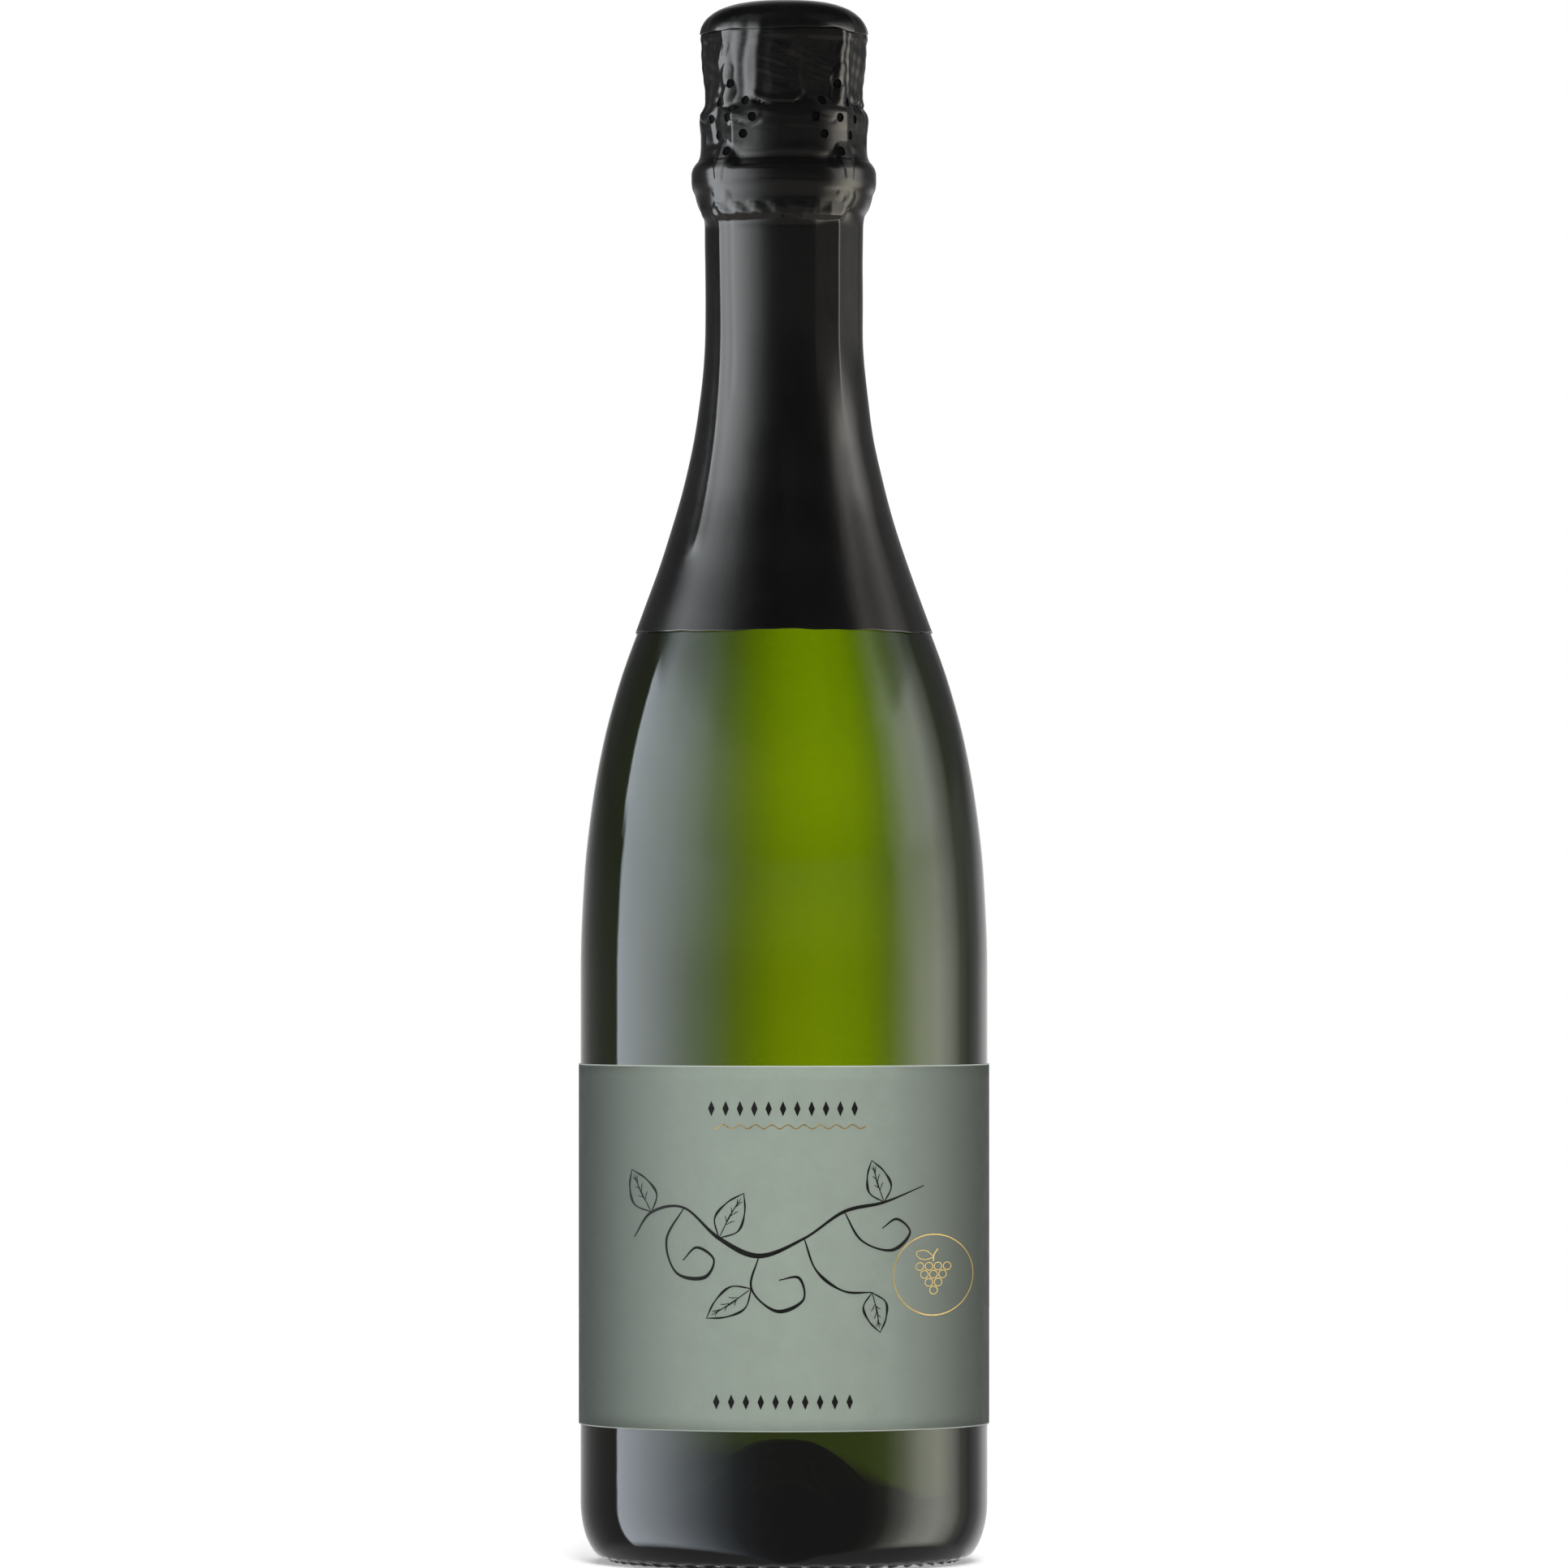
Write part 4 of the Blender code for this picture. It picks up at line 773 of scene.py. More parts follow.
def foil_radius(azimuth, height):
    """The foil's outer radius in mm at azimuths in degrees and heights in mm."""
    over_glass = np.interp(height, [p[1] for p in GLASS_OUTLINE], [p[0] for p in GLASS_OUTLINE]) + FOIL_OVER_GLASS
    upper = eased(FOIL_OUTLINE, np.clip(height, 262.0, 312.0))
    swell = np.maximum(eased(TAIL_SWELL, np.clip(height, 269.4, 278.6)), upper)
    upper += (swell - upper) * window(-84.0, -70.0, 18.0, 34.0, azimuth) * (height > 269.4) * (height < 278.6)
    base = over_glass + (upper - over_glass) * smoothstep(262.5, 269.0, height)
    relief = folds(azimuth, height, HOOD_FOLDS) * smoothstep(285.6, 287.6, height)
    relief += folds(azimuth, height, SKIRT_FOLDS) + lip_folds(azimuth, height)
    relief += collar_groove(azimuth, height) + leg_facets(azimuth, height)
    slow = np.sin(np.radians(azimuth * 3) + height * 0.21) * np.sin(np.radians(azimuth * 2 + 40) - height * 0.13)
    bumps = np.sin(np.radians(azimuth * 7) + height * 0.9) * np.sin(np.radians(azimuth * 5 - 70) + height * 1.35)
    relief += 0.05 * slow * smoothstep(188.0, 200.0, height) + 0.07 * bumps * smoothstep(288.0, 296.0, height)
    return over_both(base + relief, cover_radius(azimuth, height))


def foil_rings(heights, edge=None):
    azimuth, height = np.meshgrid(wrapped(np.linspace(0.0, 360.0, FOIL_AROUND, endpoint=False)), heights)
    if edge is not None:
        height = edge(azimuth, height)
    return round_axis(foil_radius(azimuth, height), np.radians(azimuth), height)


def walled(mesh, outside, inside):
    """Gives an outer skin an inner face in another finish."""
    return baked(finished(mesh, outside, inside), "SOLIDIFY", thickness=FOIL_WALL * MM, offset=-1,
                 material_offset=1, material_offset_rim=0, use_even_offset=False)


def wavy_edge(azimuth, height):
    """The skirt's lower rows follow an edge that isn't cut quite level."""
    wave = 0.16 * np.sin(np.radians(azimuth * 4) + 0.8) + 0.10 * np.sin(np.radians(azimuth * 9) + 2.0)
    wave += 0.06 * np.sin(np.radians(azimuth * 23))
    return height + wave * (1 - smoothstep(FOIL_EDGE, FOIL_EDGE + 4.0, height))


def make_foil_skirt(outside, inside):
    heights = np.concatenate([
        [FOIL_EDGE, FOIL_EDGE + 0.25], np.arange(189.5, 268.0, 1.9), np.arange(268.0, FOIL_SPLIT + 0.3, 0.34),
    ])
    rings = foil_rings(heights, wavy_edge)
    # The top rows tuck in under the hood
    rings[-2:, :, :2] *= np.array([0.993, 0.985])[:, None, None]
    return walled(ring_mesh("foil_skirt_skin", rings), outside, inside)


def vent_group():
    """Sets a round punch on each point, square to the bottle's axis."""
    tree, given, out = geometry_group("vent_punches", Hole_Radius=0.00088, Punch_Length=0.004, Punch_Sides=20)
    punch = new_node(tree, "GeometryNodeMeshCylinder", Vertices=given["Punch Sides"], Radius=given["Hole Radius"],
                     Depth=given["Punch Length"]).outputs["Mesh"]
    axes = axes_of(tree, new_node(tree, "GeometryNodeInputPosition").outputs[0])
    outward = new_node(tree, "CombineXYZ", X=axes["X"], Y=axes["Y"]).outputs[0]
    aim = new_node(tree, "FunctionNodeAlignRotationToVector", axis="Z", Vector=outward).outputs[0]
    spread = new_node(tree, "GeometryNodeInstanceOnPoints", Points=given["Geometry"], Instance=punch, Rotation=aim)
    return put_out(tree, spread.outputs[0], given, out)


VENT_ROWS = (
    (299.3, (0,)), (295.8, (-12.5, 12.5)), (292.4, (-19.5, 0, 19.5)), (289, (-12.5, 12.5)), (285.6, (0,)),
)
VENT_GROUPS = (-41.5, 41.5, 138.5, -138.5)
VENT_REACH = 16.6


def make_vent_punches(finish):
    mesh = bpy.data.meshes.new("vent_punches")
    mesh.from_pydata([
        tuple(round_axis(VENT_REACH, math.radians(group + offset), height) * MM)
        for group in VENT_GROUPS for height, offsets in VENT_ROWS for offset in offsets
    ], [], [])
    return run_group(finished(mesh), vent_group(), Hole_Radius=0.95 * MM, Punch_Length=4.0 * MM, Punch_Sides=18,
                     Finish=finish)


def add_shade_liner(hood, shade_liner):
    """A black sheet under the hood's vents, painted shade so that each vent shows dark at its bottom."""
    rings = foil_rings(np.arange(FOIL_SPLIT + 0.05, 301.6, 0.5))
    rings[:, :, :2] *= (1 - 0.26 / np.hypot(rings[:, :, 0], rings[:, :, 1]))[:, :, None]
    shade_sheet = ring_mesh("vent_shade_sheet", rings)
    both = bmesh.new()
    both.from_mesh(hood.data)
    first = len(both.faces)
    both.from_mesh(shade_sheet)
    both.faces.ensure_lookup_table()
    for face in both.faces[first:]:
        face.material_index = len(hood.data.materials)
        face.smooth = True
    hood.data.materials.append(shade_liner)
    both.to_mesh(hood.data)
    both.free()
    bpy.data.meshes.remove(shade_sheet)


def make_foil_hood(outside, inside):
    rings = foil_rings(np.arange(FOIL_SPLIT - 0.25, 311.6, 0.33))
    hood = walled(ring_mesh("foil_hood_skin", rings), outside, inside)
    punches = make_vent_punches(inside)
    baked(hood, "BOOLEAN", operation="DIFFERENCE", solver="EXACT", object=punches)
    hood.data.set_sharp_from_angle(angle=math.radians(38.0))
    bpy.data.objects.remove(punches, do_unlink=True)
    add_shade_liner(hood, vent_shade_liner())
    return hood


def make_foil_disc(outside, inside):
    """The stamped top disc: its rim is pressed over the hood's folds and isn't quite level."""
    outline = np.array(DISC_OUTLINE)
    length = np.concatenate([[0.0], np.cumsum(np.hypot(*np.diff(outline, axis=0).T))])
    along = np.linspace(0.0, 1.0, 54)[:, None]
    level, reach = (np.interp(along * length[-1], length, values) for values in outline.T)
    azimuth = wrapped(np.linspace(0.0, 360.0, FOIL_AROUND, endpoint=False))[None, :] + 0.0 * along
    ride = folds(azimuth, np.full_like(azimuth, 310.0), HOOD_FOLDS) * (1 - smoothstep(0.0, 0.30, along))
    lift = (0.42 * np.sin(np.radians(azimuth * 3) + 1.1) + 0.28 * np.sin(np.radians(azimuth * 5) - 0.6)
            + 0.75 * hump(wrapped(azimuth - 38.0), 0.0, 9.0) + 0.55 * hump(wrapped(azimuth + 36.0), 0.0, 8.0))
    dent = 0.10 * np.sin(np.radians(azimuth * 2) + 0.5) * hump(along, 0.45, 0.22)
    height = (level + 0.55 * lift * (1 - smoothstep(0.0, 0.16, along)) + dent
              + 0.30 * (1 - smoothstep(0.0, 0.4, along)))
    rings = round_axis(reach + 0.85 * ride + 0.13, np.radians(azimuth), height)
    rings[-1, :, :2] *= 0.9
    return walled(ring_mesh("foil_disc_skin", rings, closed_top=True), outside, inside)


# ---------------------------------------------------------------- cork, plate and wires


def turned(name, profile, around, finish):
    """A closed solid turned from its (radius, height) profile, foot first."""
    return finished(ring_mesh(name, turned_rings(profile, around), True, True), finish)


def make_cork(granules, natural):
    bore = BORE_RADIUS - 0.3
    foot = CORK_BOTTOM + 2 * (CORK_DISC + CORK_GLUE)
    head = [
        (0.6, CORK_TOP), (9.0, CORK_TOP), (12.2, CORK_TOP - 0.25), (13.6, CORK_TOP - 1.1), (14.2, CORK_TOP - 2.6),
        (14.2, 303.5), (14.15, 300.5), (13.6, 298.0), (12.0, 295.9), (10.0, 294.85), (bore, 294.6),
        (bore, foot), (0.6, foot),
    ]
    rings = turned_rings(round_corners(head, 0.9)[::-1], 160)
    # The wire's legs have pressed shallow grooves into the head
    turn = np.degrees(np.arctan2(rings[:, :, 0], -rings[:, :, 1]))
    near_leg = np.abs((turn + 360.0) % 90.0 - 45.0)
    press = 0.16 * hump(near_leg, 0.0, 5.5) * smoothstep(297.0, 300.0, rings[:, :, 2])
    radius = np.hypot(rings[:, :, 0], rings[:, :, 1])
    rings[:, :, :2] *= np.where(radius > 12.0, 1 - press / radius, 1.0)[:, :, None]
    pieces = [finished(ring_mesh("cork_mushroom", rings, True, True), granules)]
    for name, base in (("cork_wine_disc", CORK_BOTTOM), ("cork_middle_disc", CORK_BOTTOM + CORK_DISC + CORK_GLUE)):
        top = base + CORK_DISC
        side = [(0.6, base), (bore - 0.35, base), (bore, base + 0.35), (bore, top - 0.35), (bore - 0.35, top),
                (0.6, top)]
        pieces.append(turned(name, round_corners(side, 0.25), 128, natural))
    return pieces


def smooth_copy(node, name, finish):
    """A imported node's own shape with its doubles merged and its facets smoothed."""
    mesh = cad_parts[node].data.copy()
    mesh.name = name
    mesh.materials.clear()
    shape = bmesh.new()
    shape.from_mesh(mesh)
    bmesh.ops.remove_doubles(shape, verts=shape.verts, dist=0.00002)
    shape.to_mesh(mesh)
    shape.free()
    return baked(finished(mesh, finish), "SUBSURF", levels=1, render_levels=1)


def make_plate(lacquer):
    seat = CORK_TOP + 0.3
    outer = round_corners([(r, seat + rise) for r, rise in (
        (0.5, 1.4), (4.2, 1.32), (6.3, 0.95), (7.4, 0.98), (9.2, 0.52), (10.8, 0.30), (12.4, 0.30),
        (PLATE_RADIUS, 0.0))], 0.8)
    inner = [(max(r - 0.02, 0.4), z - 0.3) for r, z in reversed(outer)]
    return turned("cork_plate", (outer + inner)[::-1], 160, lacquer)


# ---------------------------------------------------------------- label and its ornament


def make_label(paper):
    """The label: a sheet with square corners bent round the body."""
    sheet = bmesh.new()
    bmesh.ops.create_grid(sheet, x_segments=200, y_segments=24, size=0.5)
    for vertex in sheet.verts:
        turn = math.radians(vertex.co.x * 2 * LABEL_HALF_TURN)
        height = LABEL_FOOT + (LABEL_TOP - LABEL_FOOT) * (vertex.co.y + 0.5)
        vertex.co = round_axis(LABEL_RADIUS, turn, height) * MM
    mesh = bpy.data.meshes.new("label_paper")
    sheet.to_mesh(mesh)
    sheet.free()
    return baked(finished(mesh, paper), "SOLIDIFY", thickness=0.2 * MM, offset=-1)


def stroke(shape, line, widths):
    """Adds a flat stroke to the label's face: line is (offset, height) in mm, as seen square from the front."""
    line = np.array(line, float)
    run = np.gradient(line, axis=0)
    across = np.stack([-run[:, 1], run[:, 0]], axis=1) / np.maximum(np.hypot(*run.T), 1e-6)[:, None]
    across *= np.broadcast_to(np.asarray(widths, float) / 2, (len(line),))[:, None]
    sides = []
    for edge in (line + across, line - across):
        turn = np.arcsin(np.clip(edge[:, 0] / LABEL_RADIUS, -0.995, 0.995))
        spots = round_axis(LABEL_RADIUS + INK_LIFT, turn, edge[:, 1]) * MM
        sides.append([shape.verts.new(tuple(spot)) for spot in spots])
    for i in range(len(line) - 1):
        shape.faces.new((sides[0][i], sides[1][i], sides[1][i + 1], sides[0][i + 1]))


def curve_through(knots, count):
    """A smooth line through (run, height) knots."""
    knots = [Vector(k) for k in knots]
    padded = [knots[0] * 2 - knots[1]] + knots + [knots[-1] * 2 - knots[-2]]
    line = []
    spans = len(knots) - 1
    for i in range(count + 1):
        at = min(i / count * spans, spans - 1e-6)
        k = int(at)
        t = at - k
        a, b, c, d = padded[k:k + 4]
        point = 0.5 * ((2 * b) + (c - a) * t + (2 * a - 5 * b + 4 * c - d) * t * t + (3 * b - a - 3 * c + d) * t ** 3)
        line.append(tuple(point))
    return line


def printed_piece(name, shape, finish):
    bmesh.ops.recalc_face_normals(shape, faces=shape.faces)
    for face in shape.faces:
        outward = face.calc_center_median()
        outward.z = 0
        if face.normal.dot(outward) < 0:
            face.normal_flip()
    mesh = bpy.data.meshes.new(name)
    shape.to_mesh(mesh)
    shape.free()
    return finished(mesh, finish)


def ring_line(run, height, radius, count):
    turn = np.linspace(0.0, math.tau, count)
    return np.stack([run + radius * np.cos(turn), height + radius * np.sin(turn)], axis=1)


def make_gold_stamping(gold):
    """A plain wavy rule and a ringed bunch of grapes, both stamped in gold."""
    shape = bmesh.new()
    run = np.linspace(-14.0, 16.4, 300)
    stroke(shape, np.stack([run, 88.75 + 0.40 * np.sin(run * 1.95)], axis=1), 0.22)
    # The ring stands on the right of the label
    middle, level = 29.95, 58.9
    stroke(shape, ring_line(middle, level, 8.1, 97), 0.24)
    for rise, count in ((1.7, 4), (0.1, 3), (-1.5, 2), (-3.1, 1)):
        for k in range(count):
            stroke(shape, ring_line(middle + (k - (count - 1) / 2) * 1.85, level + rise, 0.779, 25), 0.15)
    stem = ((0, 2.7), (0.1, 4), (0.9, 5.2))
    leaf = ((0.1, 3.6), (-1.6, 4.9), (-3.4, 4.6), (-2.9, 3.4), (-1.4, 3.1), (0.1, 3.6))
    for knots, count, width in ((stem, 12, 0.22), (leaf, 30, 0.15)):
        stroke(shape, curve_through([(middle + x, level + y) for x, y in knots], count), width)
    return printed_piece("label_gold_stamping", shape, gold)


# (offset, height) knots, steps and width of the vine's strokes
VINE = (
    (((-30, 66.5), (-26.5, 71.5), (-20, 72.5), (-13, 66.5), (-5, 63), (4, 66.5), (12, 71.8), (20, 73.6), (28, 76.8)),
     150, 1.05),
    (((-20, 72.5), (-23.5, 66), (-21.5, 59.5), (-16, 58.6), (-14, 62.2), (-17.4, 64.6), (-20.2, 62)), 80, 0.78),
    (((-5, 63), (-6.5, 56.5), (-1.5, 52), (3.8, 54.2), (3, 58.6), (-1, 58.2)), 70, 0.78),
    (((12, 71.8), (15.5, 66), (21.5, 64), (25.2, 67.4), (22.6, 70.2), (19.6, 68.4)), 70, 0.72),
    (((4, 66.5), (6.5, 60), (11.8, 56), (17.6, 55.6)), 50, 0.66),
)
# Root, tip and belly of its leaves
LEAVES = (
    ((-26.5, 71.5), (-30.5, 80), 2.6), ((-13, 66.5), (-8, 75.5), 2.8), ((17.6, 55.6), (19.2, 47.6), 2.4),
    ((-6.5, 56.5), (-15.5, 50.5), 2.7), ((20, 73.6), (17.5, 82), 2.4),
)


def make_pen_flourish(ink):
    """A generic vine tendril with a few leaves, drawn with a soft pen across the label's middle."""
    shape = bmesh.new()

    def pen(knots, count, heavy, light=0.22):
        line = curve_through(knots, count)
        share = np.linspace(0.0, 1.0, len(line))
        stroke(shape, line, light + (heavy - light) * np.sin(share * math.pi) ** 0.9
               * (0.68 + 0.32 * np.sin(share * 17.0)))

    for knots, count, heavy in VINE:
        pen(knots, count, heavy)
    for root, tip, belly in LEAVES:
        root = Vector(root)
        along = Vector(tip) - root
        across = Vector((-along.y, along.x)).normalized() * belly
        for side in (across, -across):
            pen([root, root + along * 0.30 + side * 0.95, root + along * 0.68 + side * 0.72, root + along],
                24, 0.52, 0.16)
        pen([root, root + along * 0.5 + across * 0.08, root + along * 0.88], 14, 0.34, 0.12)
        for share in (0.3, 0.5, 0.7):
            for side in (across, -across):
                base = root + along * share
                out = base + along * 0.14 + side * 0.5 * (1.1 - share)
                pen([base, (base + out) / 2 + along * 0.02, out], 6, 0.22, 0.10)
    # A row of small upright lozenges above and below
    for height, half_run, count in ((92.35, 14.3, 11), (33.85, 13.3, 10)):
        for middle in np.linspace(-half_run - 0.2, half_run - 0.2, count):
            stroke(shape, [(middle, height + 1.5), (middle, height), (middle, height - 1.5)], [0.05, 1.3, 0.05])
    return printed_piece("label_pen_flourish", shape, ink)


# ---------------------------------------------------------------- studio

WALL_FOOT = -2500.0
WALL_TOP = 4000.0
SOFTBOX_RADIUS = 1300.0
SCREEN_RADIUS = 1250.0


def tinted(tint, stops):
    return [(azimuth, tuple(value * part for part in tint)) for azimuth, value in stops]


def cool(*stops):
    return tinted((0.84, 0.92, 1.0), stops)


def warm(*stops):
    return tinted((1.0, 1.0, 0.90), stops)


def plain(*stops):
    return tinted((1.0, 1.0, 1.0), stops)


# The two lowest bands end alike on both sides
LEFT_SIDE = (
    plain((-180, 0.95), (-165, 0.62), (-154, 0.45), (-141, 0.26), (-126, 0.19), (-108.4, 0.19))
    + cool((-107.2, 4.8), (-90, 4.6), (-72, 3.6))
)
RIGHT_SIDE = (
    warm((70, 1.3), (82, 2.9), (96, 3.3), (109, 1.7), (118, 0.5))
    + plain((127, 0.22), (139, 0.36), (151, 0.75), (165, 0.85), (180, 0.95))
)
# What polished surfaces mirror, by azimuth from the front towards +X, from the set's foot upwards
MIRRORED = (
    # The heel mirrors the set's foot
    plain((-180, 0.4), (-60, 0.36), (60, 0.4), (180, 0.4)),
    # Under the label
    LEFT_SIDE + cool((-56, 2.2), (-40, 1), (-27, 0.42))
    + plain((-14, 0.24), (0, 0.2), (46, 0.2))
    + warm((58, 0.35)) + RIGHT_SIDE,
    # Low on the body
    LEFT_SIDE + cool((-56, 2), (-40, 0.85), (-27, 0.16))
    + plain((-14, 0.04), (0, 0.015), (50, 0.04))
    + warm((60, 0.25)) + RIGHT_SIDE,
    # At the height of the neck
    plain((-180, 0.45), (-168, 0.2), (-150, 0.09), (-125, 0.1), (-107.6, 0.14))
    + cool((-106.4, 4.4), (-86, 4.4), (-71, 4.1), (-57, 3), (-43.6, 1.75), (-30, 0.6), (-19, 0.22))
    + plain((-6, 0.15), (20, 0.14), (54, 0.15), (63, 0.3), (73, 1.7))
    + warm((84, 2.2), (96, 2.4))
    + plain((107, 1.3), (118, 0.35), (127, 0.3), (140, 0.14), (168, 0.22), (180, 0.45)),
    # Above it, as the sloping shoulder mirrors it
    plain((-180, 0.55), (-168, 0.22), (-150, 0.1), (-125, 0.11), (-111.2, 0.14))
    + cool((-109.8, 4.6), (-86, 4.5), (-71, 4), (-57, 2.8), (-43.6, 1.4), (-30, 0.5), (-19, 0.15))
    + plain((-6, 0.04), (20, 0.02), (50, 0.05), (60, 0.2), (70, 1.2), (80, 2.5), (96, 2.8), (108, 1.2), (120, 0.2),
        (150, 0.14), (168, 0.3), (180, 0.55)),
    # Highest, as the foil on the shoulder mirrors it: two strips on the right with a gap between them
    plain((-180, 0.55), (-168, 0.22), (-150, 0.1), (-122, 0.12))
    + cool((-110, 0.6), (-101, 2.8), (-93, 4.4), (-86, 4.3), (-71, 4), (-57, 2.9), (-43.6, 1.15), (-30, 0.36),
        (-19, 0.1))
    + plain((-6, 0.04), (50, 0.05), (60, 0.25), (67, 1.1), (75, 2), (83, 1.25), (88, 1), (95, 1.2), (103, 1.25),
        (111, 0.6), (122, 0.15), (150, 0.14), (168, 0.3), (180, 0.55)),
)
# What shows through the glass
BACKLIGHT = (
    plain((-180, 1.12), (-175, 1.3), (-170, 1.2), (-165, 0.81), (-159, 0.42), (-152, 0.18), (-142, 0.08),
        (-125, 0.03), (125, 0.03), (152, 0.08), (164, 0.21), (171, 0.47), (176, 0.81), (180, 1.12))
)
# Heights in mm over which each band gives way to the next
CHANGEOVERS = ((-800, -600), (0, 60), (110, 320), (332, 385), (700, 780))
# Heights in mm and values
SOFTBOX_FALLOFF = (
    (600, 1), (780, 0.85), (880, 0.62), (960, 0.5), (1120, 0.35), (1220, 0.22), (1500, 0.1), (2500, 0.05),
    (WALL_TOP, 0.02),
)
SCREEN_FALLOFF = (
    (WALL_FOOT, 0), (-1100, 0.03), (-420, 0.77), (-95, 0.92), (-35, 1), (35, 0.97), (110, 0.8), (260, 0.6),
    (600, 0.15), (1200, 0),
)


def stage(mesh, material, **seen):
    mesh.materials.append(material)
    piece = linked(mesh.name, mesh)
    for ray, shown in seen.items():
        setattr(piece, "visible_" + ray, shown)


def by_height(tree, height, stops):
    """A value that changes with the height on the set's wall: stops are (height in mm, value)."""
    share = maths(tree, "DIVIDE", maths(tree, "SUBTRACT", height, WALL_FOOT * MM), (WALL_TOP - WALL_FOOT) * MM)
    return ramp(tree, share, [((z - WALL_FOOT) / (WALL_TOP - WALL_FOOT), value) for z, value in stops])


def wall_light(name, strength, bands, changeovers, falloff):
    """Light that changes round the set and with height, in bands of (azimuth from the front, colour) stops."""
    made, tree, shader = new_material(name)
    tree.nodes.remove(shader)
    axes = axes_of(tree, object_place(tree))
    turn, height = azimuth_of(tree, axes), axes["Z"]
    share = maths(tree, "ADD", maths(tree, "DIVIDE", turn, math.tau), 0.5)
    colour, *others = [
        ramp(tree, share, [((azimuth + 180.0) / 360.0, tuple(part / strength for part in tone))
                           for azimuth, tone in stops])
        for stops in bands
    ]
    # The light's lower edge falls towards the front, so that the heel mirrors it level
    leaning = maths(tree, "MULTIPLY", height, maths(tree, "DIVIDE", maths(tree, "ABSOLUTE", turn), math.radians(105.0)))
    for tone, (low, high) in zip(others, changeovers):
        level = leaning if tone is others[0] else height
        colour = blend(tree, by_height(tree, level, ((low, 0.0), (high, 1.0))), colour, tone)
    light = new_node(tree, "Emission", Strength=strength,
                     Color=multiplied(tree, colour, by_height(tree, height, falloff)))
    feed(tree, tree.nodes["Material Output"], Surface=light.outputs[0])
    return made


def closed_wall(name, radius):
    return ring_mesh(name, turned_rings([(radius, WALL_FOOT), (radius, WALL_TOP)], 96), True, True)


def aimed(name, data, place, aim):
    """A lamp or a camera turned towards a point."""
    made = linked(name, data)
    made.location = place
    made.rotation_euler = (Vector(aim) - Vector(place)).to_track_quat("-Z", "Y").to_euler()
    return made


def area_lamp(name, place, aim, size, power):
    lamp = bpy.data.lights.new(name, "AREA")
    lamp.shape = "RECTANGLE"
    lamp.size, lamp.size_y = size
    lamp.energy = power
    made = aimed(name, lamp, place, aim)
    made.visible_glossy = made.visible_transmission = made.visible_camera = False


WORLD_FILL = 0.15


def white_world():
    """A white that the camera and the glass see in full and the surfaces only dimly."""
    world = bpy.data.worlds.new("white_studio")
    bpy.context.scene.world = world
    world.use_nodes = True
    tree = world.node_tree
    tree.nodes.clear()
    rays = new_node(tree, "LightPath").outputs
    shown = maths(tree, "MAXIMUM", maths(tree, "MAXIMUM", rays["Is Camera Ray"], rays["Is Glossy Ray"]),
                  rays["Is Transmission Ray"])
    strength = maths(tree, "ADD", WORLD_FILL, maths(tree, "MULTIPLY", shown, 1.0 - WORLD_FILL))
    back = new_node(tree, "Background", Color=(1.0, 1.0, 1.0), Strength=strength)
    new_node(tree, "OutputWorld", Surface=back.outputs[0])


def matt(name, grey):
    """A matt material of the set, with its tree and its shader."""
    made, tree, shader = new_material(name)
    feed(tree, shader, Base_Color=(grey, grey, grey), Roughness=0.9, Specular_IOR_Level=0.0)
    return made, tree, shader


def make_floor():
    made, tree, shader = matt("white_floor", 0.92)
    rays = new_node(tree, "LightPath").outputs
    feed(tree, shader, Emission_Color=(1.0, 1.0, 1.0),
         Emission_Strength=maths(tree, "MULTIPLY", rays["Is Camera Ray"], 0.35))
    rings = turned_rings([(1500.0, -0.25), (2.0, -0.25)], 96)
    stage(ring_mesh("floor", rings, closed_top=True), made, glossy=False, transmission=False)


CARD_RADIUS = 105.0
CARD_TOP = 70.0


def make_base_cards():
    """A low glowing card behind the bottle, and black ones under it as painted shade, only seen through the glass."""
    black = matt("painted_shade_card", 0.004)[0]
    glowing, tree, shader = matt("glowing_card", 0.004)
    axes = axes_of(tree, object_place(tree))
    share = maths(tree, "DIVIDE", axes["Z"], 60.0 * MM)
    aside = maths(tree, "ADD", maths(tree, "DIVIDE", axes["X"], 80.0 * MM), 0.5)
    # The glow's foot steps down beside the punt
    beside = maths(tree, "MAXIMUM", maths(tree, "SUBTRACT", 0.49, aside), 0.0)
    foot = ramp(tree, maths(tree, "ADD", share, maths(tree, "MULTIPLY", beside, 2.0)), ((0.26, 0.0), (0.34, 0.16)))
    level = multiplied(tree, foot, ramp(tree, share, ((0.44, 1.0), (0.60, 0.0))))
    side = ramp(tree, aside, ((0.16, 0.0), (0.28, 0.9), (0.42, 1.0), (0.60, 0.4), (0.76, 0.0)))
    feed(tree, shader, Emission_Color=multiplied(tree, level, side), Emission_Strength=1.0)
    turns = np.radians(np.linspace(75.0, 285.0, 33))
    points = np.concatenate([round_axis(CARD_RADIUS, turns, height) for height in (-0.4, CARD_TOP)]) * MM
    faces = [(j, j + 1, len(turns) + j + 1, len(turns) + j) for j in range(len(turns) - 1)]
    card = bpy.data.meshes.new("base_card")
    card.from_pydata([tuple(point) for point in points], [], faces)
    mat = ring_mesh("base_shade_mat", turned_rings([(106.0, -0.3), (2.0, -0.3)], 64), closed_top=True)
    # A black cone stands in the punt's hollow, a hair under the glass, as painted shade that keeps the punt dark
    under = [(r * 0.96, max(z - 0.9, -0.28)) for r, z in glass_underside() if r < 32.0]
    cone = ring_mesh("punt_shade_cone", turned_rings(under, 64), closed_top=True)
    for mesh, finish in ((card, glowing), (mat, black), (cone, black)):
        stage(mesh, finish, camera=False, diffuse=False, glossy=False, shadow=False, volume_scatter=False)


# The camera stands this far off, in metres, and takes in this much height
CAMERA_DISTANCE = 2.2
PICTURE_HEIGHT = 0.3188


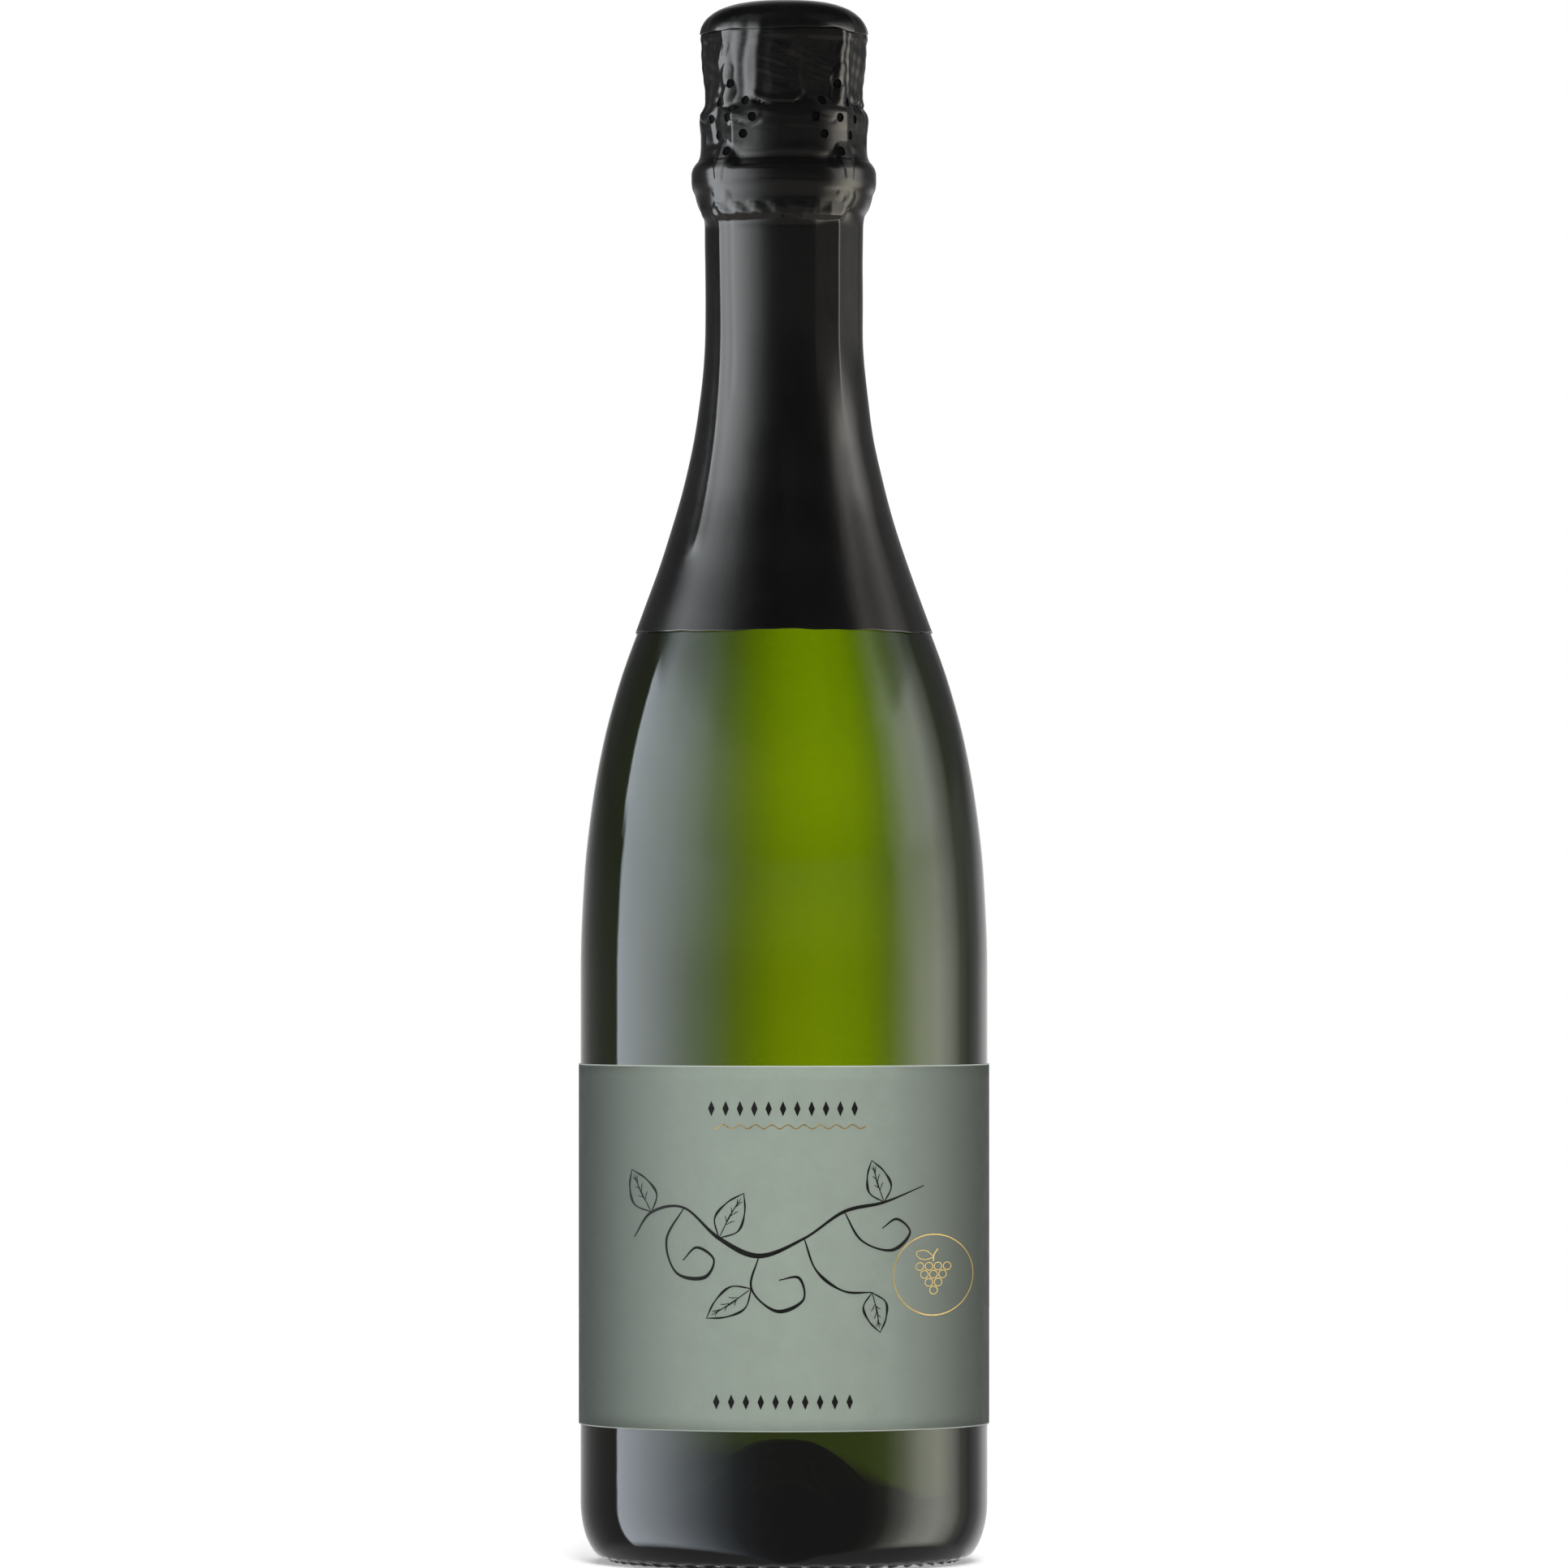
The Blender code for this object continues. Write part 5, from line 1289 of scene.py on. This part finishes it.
def make_studio():
    scene = bpy.context.scene
    scene.view_settings.view_transform = "Standard"
    white_world()
    make_floor()
    hidden = {"camera": False, "diffuse": False, "shadow": False, "volume_scatter": False}
    softbox = wall_light("softbox_light", 5.0, MIRRORED, CHANGEOVERS, SOFTBOX_FALLOFF)
    stage(closed_wall("mirrored_softboxes", SOFTBOX_RADIUS), softbox, transmission=False, **hidden)
    screen = wall_light("backlight", 1.3, (BACKLIGHT,), (), SCREEN_FALLOFF)
    stage(closed_wall("backlight_screen", SCREEN_RADIUS), screen, glossy=False, **hidden)
    make_base_cards()
    area_lamp("front_lamp", (0.28, -2.1, 1.45), (0, 0, 0.15), (0.7, 0.7), 33.0)
    area_lamp("top_lamp", (0.0, -0.2, 1.9), (0, 0, 0), (1.6, 1.6), 26.0)
    area_lamp("rear_lamp", (0.5, 2.4, 0.8), (0, 0, 0.15), (1.6, 1.2), 16.0)
    camera = bpy.data.cameras.new("camera")
    camera.lens = camera.sensor_width * CAMERA_DISTANCE / PICTURE_HEIGHT
    camera.clip_end = 20.0
    scene.camera = aimed("camera", camera, (0.0, -CAMERA_DISTANCE, 0.127), (0, 0, 0.1577))


# ---------------------------------------------------------------- assembly


def dress(piece, body, node):
    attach(piece, body)
    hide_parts(node)


def main():
    make_studio()
    foil, silver = satin_foil(), silver_inside()
    wire, lacquer = tinned_wire(), lacquered_plate()
    dress(make_glass_shell(bottle_glass()), "bottle", "glass_bottle")
    dress(make_wine(straw_wine()), "bottle", "wine")
    dress(make_foil_skirt(foil, silver), "bottle", "foil_skirt")
    dress(make_foil_hood(foil, silver), "hood", "foil_hood")
    dress(make_foil_disc(foil, silver), "hood", "foil_top_disc")
    cork, lower, upper = make_cork(granule_cork(), natural_cork())
    dress(cork, "cork", "cork_granule_body")
    dress(lower, "cork", "cork_disc_lower")
    dress(upper, "cork", "cork_disc_upper")
    dress(make_plate(lacquer), "cage", "cage_plate")
    dress(smooth_copy("cage_frame_wire", "frame_wire_smooth", wire), "cage", "cage_frame_wire")
    dress(smooth_copy("cage_belt_wire", "belt_wire_smooth", wire), "cage", "cage_belt_wire")
    dress(make_label(sage_paper()), "bottle", "front_label")
    for print_piece in (make_gold_stamping(stamped_gold()), make_pen_flourish(pen_ink())):
        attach(print_piece, "bottle")


main()
